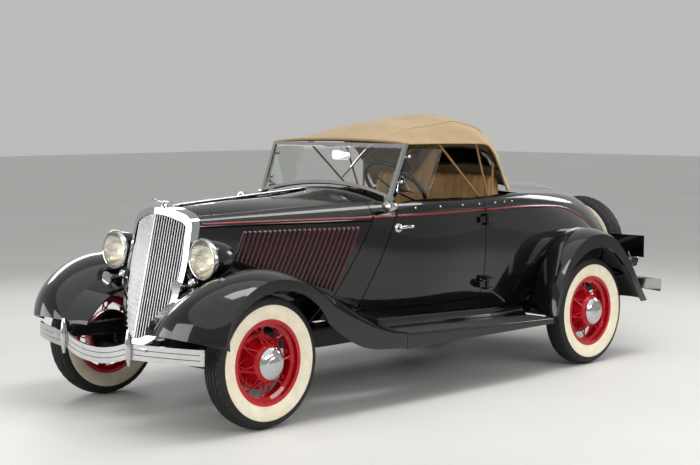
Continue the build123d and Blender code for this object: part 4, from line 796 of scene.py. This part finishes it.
# Radiator grille

grilleShape = {
    "pitch": 0.016, "count": 14, "half": 0.0031, "middleHalf": 0.0056, "depth": 0.020, "reach": (0.40, 1.13),
    # rounded front of a slat: place forward, and share of its half width
    "front": [(0.0, 1.0), (0.0012, 0.9), (0.0030, 0.55), (0.0036, 0.0), (0.0030, -0.55), (0.0012, -0.9),
              (0.0, -1.0)],
}
section = [(-grilleShape["depth"], 1.0), *grilleShape["front"], (-grilleShape["depth"], -1.0)]
grilleParts = []
heights = np.linspace(*grilleShape["reach"], 366)
for number in range(-grilleShape["count"], grilleShape["count"] + 1):
    y = number * grilleShape["pitch"]
    starts = np.stack([np.full_like(heights, 3.0), np.full_like(heights, y), heights], axis=1)
    hits, _ = onSurface("grille_bars", starts, (-1, 0, 0))
    good = ~np.isnan(hits[:, 0])
    if good.sum() < 6:
        continue
    slope = np.polyfit(heights[good], hits[good, 0], 1)
    z = np.linspace(heights[good][0], heights[good][-1], 14)
    half = grilleShape["middleHalf"] if number == 0 else grilleShape["half"]
    x = np.polyval(slope, z) - 0.0036
    ring = np.stack([np.stack([x + forward, np.full_like(z, y + across * half), z], axis=1)
                     for forward, across in section], axis=1)
    grilleParts.append((ring, ringFaces(len(z), len(section)), 0))
chromePiece("grille_slats", grilleParts, ["grille_bars"])
print("grille done")


# Hood louvres and belt moulding

louvreShape = {
    "count": 24, "tops": (-0.223, -0.881), "topZ": 1.010, "feet": ((-0.169, 0.841), (-0.749, 0.644)),
    "half": 0.0105, "sink": 0.002,
    # place across the slot from its front edge, and height there
    "section": [(1.0, 0.0), (0.72, 0.0030), (0.4, 0.0058), (0.05, 0.0078), (-0.25, 0.0088), (-0.42, 0.0091),
                (-0.68, 0.0091), (-0.78, 0.0080), (-0.9, 0.0030), (-1.0, 0.0)],
    # columns of the red stripe on the flat top, and of the painted shade on the steep rear faces where the
    # slot opens
    "redColumns": (5,), "paintedShadeColumns": (7, 8),
}


def louvrePart(sign, share):
    # One slot cover: a wedge that rises rearward, rounded off at its ends, on the panel's own curve; its
    # steep rear faces carry painted shade for the open slot
    shape = louvreShape
    section = np.array(shape["section"])
    topX = shape["tops"][0] + share * (shape["tops"][1] - shape["tops"][0])
    firstFoot, lastFoot = np.array(shape["feet"])
    foot = firstFoot + share * (lastFoot - firstFoot)
    q = np.concatenate([[0, 0.006, 0.015, 0.03], np.linspace(0.05, 0.95, 15), [0.97, 0.985, 0.994, 1]])
    x = frontAxleX + topX + q * (foot[0] - topX) - shape["half"]
    z = shape["topZ"] + q * (foot[1] - shape["topZ"])
    edges = []
    for k in (1, -1):
        spots = np.stack([x + k * shape["half"], np.full_like(x, sign * 1.2), z], axis=1)
        edges.append(onSurface("hood_sides", spots, (0, -sign, 0)))
    (front, normal), (rear, _) = edges
    across = (1 - section[:, 0]) / 2
    base = front[:, None] + (rear - front)[:, None] * across[None, :, None]
    ends = np.sqrt(np.clip(np.minimum(q, 1 - q) / 0.03, 0, 1))
    height = section[None, :, 1] * ends[:, None]
    top = base + normal[:, None] * height[:, :, None]
    back = base - normal[:, None] * shape["sink"]
    ring = np.concatenate([top, back[:, ::-1]], axis=1)
    faces, *caps = ringFaces(len(q), 2 * len(section))
    column = np.tile(np.arange(2 * len(section)), len(q) - 1)
    isRed, isPaintedShade = (np.isin(column, shape[key]) for key in ("redColumns", "paintedShadeColumns"))
    blocks = [faces[~isRed & ~isPaintedShade], faces[isRed], faces[isPaintedShade], *caps]
    return ring, blocks, (0, 1, 2, 0, 0)


for sideName, sign in sides.items():
    shares = np.linspace(0, 1, louvreShape["count"])
    meshPiece("hood_louvres_" + sideName, [louvrePart(sign, share) for share in shares],
              [black, stripeRed, paintedSlotShade], "chassis", smoothAngle=50)

beltShape = {
    # x from the front axle and height of the moulding's middle line
    "line": [(0.06, 1.057), (-0.30, 1.058), (-0.65, 1.059), (-1.00, 1.061), (-1.25, 1.063), (-1.60, 1.065),
             (-1.93, 1.064), (-2.29, 1.063), (-2.59, 1.052), (-2.78, 1.037), (-2.945, 1.004), (-3.10, 0.951),
             (-3.227, 0.891), (-3.303, 0.850), (-3.40, 0.800)],
    # half width and rise of the black moulding, then of the red line on it
    "strips": ((0.0085, 0.0048), (0.0042, 0.0066)),
    # which panel carries each stretch: node, body, ends
    "stretches": [("hood_{}", "hood_{}", 0.02, -0.979), ("cowl", "chassis", -0.995, -1.141),
                  ("door_{}", "door_{}", -1.158, -1.905), ("rear_body", "chassis", -1.926, -3.40)],
}


def sidedName(panel, sideName):
    # A panel's name, with the side added where it has none of its own
    return panel.format(sideName) + ("" if "{" in panel else "_" + sideName)


beltLine = smoothPath(beltShape["line"], 900)
for sideName, sign in sides.items():
    for panel, body, start, stop in beltShape["stretches"]:
        node = panel.format(sideName)
        x = np.linspace(start, stop, max(12, int(abs(stop - start) / 0.018)))
        z = np.interp(-x, -beltLine[:, 0], beltLine[:, 1])
        path = np.stack([x + frontAxleX, np.full_like(x, sign * 1.3), z], axis=1)
        fall = np.stack([np.gradient(z, x) * -1, np.zeros_like(x), np.ones_like(x)], axis=1)
        fall /= np.linalg.norm(fall, axis=1)[:, None]
        parts = [raisedStrip(node, path, fall[:, None, :], (0, -sign, 0), half, rise, k)
                 for k, (half, rise) in enumerate(beltShape["strips"])]
        meshPiece("belt_" + sidedName(panel, sideName), parts, [black, stripeRed], body.format(sideName),
                  smoothAngle=60)

ridgeShape = {"front": (1.674, 0, 1.1513), "rear": (0.668, 0, 1.2108), "radius": 0.0088}
ridgePath = np.linspace(ridgeShape["front"], ridgeShape["rear"], 60)
fromEnd = np.minimum(np.arange(60), np.arange(60)[::-1])
ridgeGirth = ridgeShape["radius"] * np.sqrt(np.clip(fromEnd / 1.5, 0.15, 1))
chromePiece("hood_ridge_hinge", [tube(ridgePath, ridgeGirth, 20, 0, up=(0, 1, 0))])
print("louvres, belt and ridge done")


# Bumper grooves, running board mats, number plate

bumperShape = {"z": 0.428, "dip": 0.046, "knee": 0.274, "lines": (-0.014, 0.014), "half": 0.0020,
               "rise": 0.0006, "spans": ((-0.72, -0.318), (-0.270, 0.270), (0.318, 0.72)),
               "rearZ": 0.442, "rearSpan": (-0.71, 0.71)}
bumperParts = []
for offset in bumperShape["lines"]:
    for low, high in bumperShape["spans"]:
        y = np.linspace(low, high, 60)
        dip = bumperShape["dip"] * np.clip(1 - (y / bumperShape["knee"]) ** 2, 0, 1)
        path = np.stack([np.full_like(y, 3.0), y, bumperShape["z"] + offset - dip], axis=1)
        bumperParts.append(raisedStrip("front_bumper", path, (0, 0, 1), (-1, 0, 0), bumperShape["half"],
                                       bumperShape["rise"]))
meshPiece("front_bumper_lines", bumperParts, [black], "chassis")
rearParts = []
for offset in bumperShape["lines"]:
    y = np.linspace(*bumperShape["rearSpan"], 120)
    path = np.stack([np.full_like(y, -3.0), y, np.full_like(y, bumperShape["rearZ"] + offset)], axis=1)
    rearParts.append(raisedStrip("rear_bumper", path, (0, 0, 1), (1, 0, 0), bumperShape["half"],
                                 bumperShape["rise"]))
meshPiece("rear_bumper_lines", rearParts, [black], "chassis")

matShape = {"x": (0.655, -0.675), "y": (0.664, 0.832), "ribs": 14, "rise": 0.0042, "base": 0.0015}
for sideName, sign in sides.items():
    x = np.linspace(*matShape["x"], 24)
    y = np.linspace(*matShape["y"], matShape["ribs"] * 8 + 1)
    origins = np.stack([*np.meshgrid(x, sign * y, indexing="ij"), np.full((len(x), len(y)), 0.62)], axis=-1)
    wave = np.abs(np.sin(math.pi * matShape["ribs"] * np.linspace(0, 1, len(y)))) ** 0.6
    mat = surfacePatch("running_boards", origins, (0, 0, -1), matShape["base"] + matShape["rise"] * wave)
    meshPiece("board_mat_" + sideName, [mat], [matRubber], "chassis")


def roundedPlate(centre, first, second, halfA, halfB, radius, thickness, number=0, edge=0.0015):
    # A flat plate with rounded corners and softened edges: rings of one outline at several depths
    turn = np.linspace(0, math.pi / 2, 7) + np.arange(4)[:, None] * math.pi / 2
    corners = np.array([(1, 1), (-1, 1), (-1, -1), (1, -1)]) * (np.array([halfA, halfB]) - radius)
    outline = corners[:, None] + radius * np.stack([np.cos(turn), np.sin(turn)], axis=-1)
    outline = outline.reshape(-1, 2)
    first, second = np.asarray(first, float), np.asarray(second, float)
    normal = np.cross(first, second)
    rings = []
    for inset, depth in ((edge, 0), (0, edge), (0, thickness - edge), (edge, thickness)):
        flat = outline * (1 - inset / np.array([halfA, halfB]))
        rings.append(np.asarray(centre, float) + flat[:, :1] * first + flat[:, 1:] * second + normal * depth)
    count = len(outline)
    faces = [gridFaces(4, count, False, True), capFaces(count, 0, False), capFaces(count, 3 * count, True)]
    return np.stack(rings), faces, number


plateShape = {"place": (-1.9088, 0.5575, 0.730), "halfWidth": 0.1525, "halfHeight": 0.076, "frame": 0.006}
plateAxes = (0, -1, 0), (0, 0, 1)
plateParts = [roundedPlate(plateShape["place"], *plateAxes, plateShape["halfWidth"] - plateShape["frame"],
                           plateShape["halfHeight"] - plateShape["frame"], 0.010, 0.0016),
              roundedPlate(np.add(plateShape["place"], (0.0012, 0, 0)), *plateAxes, plateShape["halfWidth"],
                           plateShape["halfHeight"], 0.014, 0.0018, 1)]
meshPiece("blank_plate", plateParts, [plateEnamel, chrome], "chassis")
print("bumper, mats and plate done")


# Steering wheel, dash and controls

steerShape = {
    "middle": (frontAxleX - 1.430, 0.330, 1.205), "column": (-0.500, 0, 0.445), "rim": 0.212, "grip": 0.0118,
    "hub": [(0.0105, -0.050), (0.028, -0.050), (0.031, -0.045), (0.031, -0.006), (0.028, 0.001),
            (0.026, 0.006), (0.020, 0.0095), (0.0105, 0.0108)],
    "spokesAt": (45, 135, 225, 315), "spokeFrom": 0.024, "spokeLength": 0.180, "spokeDrop": 0.018,
}
columnWay = np.array(steerShape["column"]) / np.linalg.norm(steerShape["column"])
wheelMiddle = np.array(steerShape["middle"])
steerAcross = np.array((0, 1, 0))
steerUp = np.cross(columnWay, steerAcross)
steerPlace = (wheelMiddle, steerAcross, columnWay, -steerUp)
gripAngle = np.linspace(0, 2 * math.pi, 16, endpoint=False)
grip = [(steerShape["rim"] + steerShape["grip"] * math.cos(a), steerShape["grip"] * math.sin(a))
        for a in gripAngle]
steerParts = [turned(grip, steerPlace, 96, True), turned(steerShape["hub"], steerPlace, 40, True)]
share = np.linspace(0, 1, 14)[:, None]
for turn in np.radians(steerShape["spokesAt"]):
    reach = steerAcross * math.cos(turn) + steerUp * math.sin(turn)
    drop = -columnWay * steerShape["spokeDrop"] * np.sin(math.pi * (share * 0.5 + 0.5))
    spoke = wheelMiddle + reach * (steerShape["spokeFrom"] + share * steerShape["spokeLength"])
    steerParts.append(tube(spoke + drop * (1 - share), 0.0075 - 0.002 * share[:, 0], 10, 0, (1.2, 0.7),
                           columnWay))
meshPiece("steering_wheel_rim", steerParts, [hardPlastic], "steering_wheel",
          ["steering_wheel"])
meshPiece("horn_button", [dome(steerPlace, 0.021, 0.0102, 0.009, 32)], [chrome], "steering_wheel")

dashShape = {"x": frontAxleX - 1.200, "half": 0.525, "low": 1.038, "top": 1.158, "fall": 0.085,
             "belly": 0.012, "thickness": 0.006, "dialZ": 1.098,
             "dials": ((-0.105, 0.034), (0.0, 0.046), (0.105, 0.034))}
y = np.linspace(-1, 1, 60) * dashShape["half"]
rise = np.linspace(0, 1, 12)[:, None]
dashTop = dashShape["top"] - dashShape["fall"] * (y / dashShape["half"]) ** 2
dashZ = dashShape["low"] + rise * (dashTop - dashShape["low"])
dashX = np.broadcast_to(dashShape["x"] - dashShape["belly"] * np.sin(math.pi * rise), dashZ.shape)
dashFace = np.stack([dashX, np.broadcast_to(y, dashZ.shape), dashZ], axis=-1)
meshPiece("dash_panel", [sheetPart(dashFace, dashFace + np.array([dashShape["thickness"], 0, 0]))], [black],
          "chassis")
dialParts, faceParts = [], []
for dialY, r in dashShape["dials"]:
    dialPlace = ((dashShape["x"] - dashShape["belly"], dialY, dashShape["dialZ"]), (0, -1, 0), (-1, 0, 0),
                 (0, 0, -1))
    bezel = [(r, -0.006), (r + 0.005, -0.006), (r + 0.0055, 0.003), (r + 0.003, 0.006), (r, 0.005)]
    dialParts.append(turned(bezel, dialPlace, 48, True))
    face = [(0.0005, -0.004), (r, -0.004), (r, 0.0015), (0.0005, 0.0022)]
    faceParts.append(turned(face, dialPlace, 48, True))
chromePiece("dial_bezels", dialParts)
meshPiece("dial_faces", faceParts, [dialCream], "chassis")

leverShape = {
    # x from the front axle, y, z
    "gear": [(-1.330, 0, 0.47), (-1.345, 0, 0.60), (-1.400, 0, 0.76), (-1.455, 0, 0.885)],
    "brake": [(-1.235, -0.075, 0.47), (-1.250, -0.075, 0.62), (-1.300, -0.075, 0.80)],
    "knobRadius": 0.020, "knobHalf": 0.018, "knobUp": 0.012,
}
axlePlace = np.array([frontAxleX, 0, 0])
leverPath = smoothPath(axlePlace + leverShape["gear"], 24)
brakePath = smoothPath(axlePlace + leverShape["brake"], 18)
meshPiece("gear_lever", [tube(leverPath, np.linspace(0.009, 0.006, 24), 12, 0, up=(0, 1, 0)),
                         tube(brakePath, np.linspace(0.009, 0.008, 18), 12, 0, (0.6, 1.2), (0, 1, 0))],
          [steel], "chassis")
knobPlace = (leverPath[-1] + np.array([0, 0, leverShape["knobUp"]]), (1, 0, 0), (0, 0, 1), (0, -1, 0))
knob = [(max(leverShape["knobRadius"] * math.sin(a), 0.0005), -leverShape["knobHalf"] * math.cos(a))
        for a in np.linspace(0, math.pi, 13)]
meshPiece("gear_knob", [turned(knob, knobPlace, 28, False)], [hardPlastic], "chassis")
print("controls done")


# Door handles, mirror, wiper, wind wings, ornament, snaps

handleShape = {
    "x": frontAxleX - 1.160, "z": 0.992, "stand": 0.036,
    "rose": [(0.0005, -0.003), (0.026, -0.003), (0.026, 0.003), (0.021, 0.006), (0.0125, 0.009),
             (0.010, 0.016), (0.0095, 0.030), (0.0005, 0.034)],
    # lever from its front end: along the car, outward, up
    "lever": [(0.014, 0, 0.001), (0, 0, 0), (-0.045, 0.003, 0.0035), (-0.085, 0, 0.002),
              (-0.112, -0.006, -0.002)], "frontDip": 0.006,
    # share of the lever's length and thickness there
    "girth": [(0, 0.005), (0.12, 0.0105), (0.3, 0.0085), (0.7, 0.0095), (0.93, 0.0085), (1, 0.003)],
}
for sideName, sign in sides.items():
    door = "door_" + sideName
    (base,), (out,) = onSurface(door, [(handleShape["x"], sign * 1.2, handleShape["z"])], (0, -sign, 0))
    lever = base + out * handleShape["stand"] + np.array(handleShape["lever"]) * np.array([1, sign, 1])
    lever[0] -= out * handleShape["frontDip"]
    girth = np.interp(np.linspace(0, 1, 30), *np.array(handleShape["girth"]).T)
    meshPiece("door_handle_" + sideName,
              [turned(handleShape["rose"], standingPlace(base, out), 36, True),
               tube(smoothPath(lever, 30), girth, 16, 0, (0.8, 1.15))], [chrome], door)

mirrorShape = {
    "spot": (-1.300, 0.0, 1.402), "stem": [(-1.272, 0, 1.474), (-1.290, 0, 1.452), (-1.296, 0, 1.412)],
    # half width, half height, corner and thickness
    "glass": (0.075, 0.026, 0.018, 0.004), "back": (0.079, 0.030, 0.021, 0.0105), "stemRadius": 0.0045,
}
mirrorAxes = (0, -1, 0), (0, 0, 1)
mirrorSpot = axlePlace + mirrorShape["spot"]
mirrorStem = smoothPath(axlePlace + mirrorShape["stem"], 12)
mirrorParts = [roundedPlate(mirrorSpot, *mirrorAxes, *mirrorShape["glass"], 0),
               roundedPlate(mirrorSpot + np.array([0.011, 0, 0]), *mirrorAxes, *mirrorShape["back"], 1),
               tube(mirrorStem, mirrorShape["stemRadius"], 10, 1, up=(0, 1, 0))]
meshPiece("rear_mirror", mirrorParts, [reflectorSilver, chrome], "chassis")

wiperShape = {
    "head": (-1.263, 0.300, 1.470), "tip": (-1.180, 0.130, 1.268), "armRadius": 0.003, "bladeRadius": 0.0042,
    # share of the way from head to tip, and distance off the glass
    "arm": [(0.0, 0.012), (0.15, 0.022), (0.5, 0.020), (0.7, 0.016)], "bladeFrom": 0.36, "bladeOff": 0.012,
}
lean = math.radians(22.2)  # windshield's rake
glassOut = np.array([math.cos(lean), 0, math.sin(lean)])
headPoint, wiperRun = axlePlace + wiperShape["head"], np.subtract(wiperShape["tip"], wiperShape["head"])
arm = smoothPath([headPoint + wiperRun * share + glassOut * off for share, off in wiperShape["arm"]], 20)
bladeShare = np.linspace(wiperShape["bladeFrom"], 1, 12)[:, None]
blade = headPoint + wiperRun * bladeShare + glassOut * wiperShape["bladeOff"]
meshPiece("wiper", [tube(arm, wiperShape["armRadius"], 8, 0, up=(0, 1, 0)),
                    tube(blade, wiperShape["bladeRadius"], 8, 1, (0.6, 1.2), (0, 1, 0))],
          [chrome, matRubber], "chassis")

# Glass wind wings behind the posts, each on two chrome clamps
wingShape = {
    "foot": (-1.134, 0.557, 1.160), "splay": 0.035, "turnOut": math.radians(7), "behind": 0.030,
    "length": 0.270, "low": 0.032, "high": 0.312, "corner": 0.035, "thickness": 0.005,
    "clampHeights": (0.103, 0.262), "clampReach": 0.062,
    # share of a clamp's length and thickness there
    "clamp": [(0, 0.008), (0.3, 0.008), (0.4, 0.005), (0.7, 0.005), (0.8, 0.0105), (0.97, 0.0105),
              (1, 0.002)],
}
for sideName, sign in sides.items():
    postFoot = axlePlace + np.array(wingShape["foot"]) * np.array([1, sign, 1])
    postUp = np.array([-math.sin(lean), sign * wingShape["splay"], math.cos(lean)])
    wingBack = np.array([-math.cos(wingShape["turnOut"]), sign * math.sin(wingShape["turnOut"]), 0])
    wingMiddle = (postFoot + postUp * (wingShape["low"] + wingShape["high"]) / 2
                  + wingBack * (wingShape["behind"] + wingShape["length"] / 2))
    wingHalf = (wingShape["high"] - wingShape["low"]) / 2
    wing = roundedPlate(wingMiddle, wingBack, postUp, wingShape["length"] / 2, wingHalf, wingShape["corner"],
                        wingShape["thickness"])
    meshPiece("wind_wing_" + sideName, [wing], [glass], "chassis")
    share = np.linspace(0, 1, 16)
    girth = np.interp(share, *np.array(wingShape["clamp"]).T)
    clampRun = share[:, None] * wingShape["clampReach"] * wingBack
    chromePiece("wing_clamps_" + sideName, [tube(postFoot + postUp * height + clampRun, girth, 14)
                                            for height in wingShape["clampHeights"]])

ornamentShape = {
    # fin: x from the front axle, height over the cap's foot; its tip takes its height from the CAD
    "fin": [(0.012, 0.020), (0.060, 0.027), (0.115, 0.031), (0.150, 0.040)], "tipX": 0.176, "tipDown": 0.004,
    "girth": [(0, 0.0025), (0.25, 0.011), (0.55, 0.0145), (0.8, 0.010), (1, 0.0025)], "capX": 0.084,
    "cap": [(0.0005, 0.0), (0.0215, 0.0), (0.0215, 0.005), (0.0175, 0.009), (0.013, 0.016), (0.0105, 0.024),
            (0.0005, 0.028)],
}
(_, _, capFoot), (_, _, finTop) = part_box("hood_ornament")
finLine = [(frontAxleX + x, 0, capFoot + up) for x, up in ornamentShape["fin"]]
finLine.append((frontAxleX + ornamentShape["tipX"], 0, finTop - ornamentShape["tipDown"]))
finGirth = np.interp(np.linspace(0, 1, 40), *np.array(ornamentShape["girth"]).T)
capPlace = ((frontAxleX + ornamentShape["capX"], 0, capFoot), (1, 0, 0), (0, 0, 1), (0, -1, 0))
chromePiece("streamline_ornament",
            [tube(smoothPath(finLine, 40), finGirth, 20, 0, (0.42, 1.25), (0, 1, 0)),
             turned(ornamentShape["cap"], capPlace, 40, True)], ["hood_ornament"])

snapShape = {"z": 1.103, "radius": 0.0062, "rise": 0.0036,
             # panel, body, x from the front axle
             "rows": [("door_{}", "door_{}", (-1.30, -1.50, -1.70, -1.86)),
                      ("rear_body", "chassis", (-2.02, -2.12, -2.20))]}
for sideName, sign in sides.items():
    for panel, body, xs in snapShape["rows"]:
        starts = [(frontAxleX + x, sign * 1.2, snapShape["z"]) for x in xs]
        spots, normals = onSurface(panel.format(sideName), starts, (0, -sign, 0))
        parts = [dome(standingPlace(spot, normal), snapShape["radius"], 0.0, snapShape["rise"], 16)
                 for spot, normal in zip(spots, normals)]
        meshPiece("curtain_snaps_" + sidedName(panel, sideName), parts, [chrome], body.format(sideName))
print("small fittings done")


# Door linings and pedals

cardShape = {"rear": -0.222, "low": 0.575, "high": 1.045, "margin": 0.055, "rise": 0.004, "pleats": 9,
             "pleatDepth": 0.003, "plainUpTo": 0.25, "base": 0.0006}
for sideName, sign in sides.items():
    z = np.linspace(cardShape["low"], cardShape["high"], 30)
    frontEdge = 0.731 - 0.422 * (z - 0.514) - cardShape["margin"]  # the door's front edge leans back
    share = np.linspace(0, 1, 72)
    x = cardShape["rear"] + share[None, :] * (frontEdge - cardShape["rear"])[:, None]
    origins = np.stack([x, np.full_like(x, sign * 0.36), np.broadcast_to(z[:, None], x.shape)], axis=-1)
    up = np.linspace(0, 1, 30)[:, None]
    edge = np.minimum(np.minimum(share, 1 - share)[None, :] * 14, np.minimum(up, 1 - up) * 10)
    pleat = np.abs(np.sin(math.pi * cardShape["pleats"] * share)) ** 0.5
    sunk = cardShape["pleatDepth"] * (1 - pleat)[None, :] * (up > cardShape["plainUpTo"])
    swell = np.clip(edge, 0, 1) ** 0.5 * (cardShape["rise"] - sunk) + cardShape["base"]
    door = "door_" + sideName
    card = meshPiece("door_lining_" + sideName, [surfacePatch(door, origins, (0, sign, 0), swell)], [leather],
                     door)

pedalShape = {
    # x from the front axle, y, half width, half height
    "pads": ((-1.105, 0.415, 0.026, 0.034), (-1.105, 0.255, 0.026, 0.034), (-1.085, 0.150, 0.018, 0.052)),
    "z": 0.600, "slope": (-0.34, 0, 0.94), "stem": [(0.004, 0, 0), (0.045, 0, -0.030), (0.078, 0, -0.128)],
    "stemRadius": 0.0065, "corner": 0.012, "thickness": 0.009,
}
pedalParts, padParts = [], []
for pedalX, pedalY, halfA, halfB in pedalShape["pads"]:
    pad = np.array([frontAxleX + pedalX, pedalY, pedalShape["z"]])
    stem = smoothPath(pad + pedalShape["stem"], 14)
    pedalParts.append(tube(stem, pedalShape["stemRadius"], 10, 0, up=(0, 1, 0)))
    padParts.append(roundedPlate(pad, (0, -1, 0), pedalShape["slope"], halfA, halfB, pedalShape["corner"],
                                 pedalShape["thickness"]))
meshPiece("pedal_stems", pedalParts, [steel], "chassis")
meshPiece("pedal_pads", padParts, [matRubber], "chassis")
print("linings and pedals done")
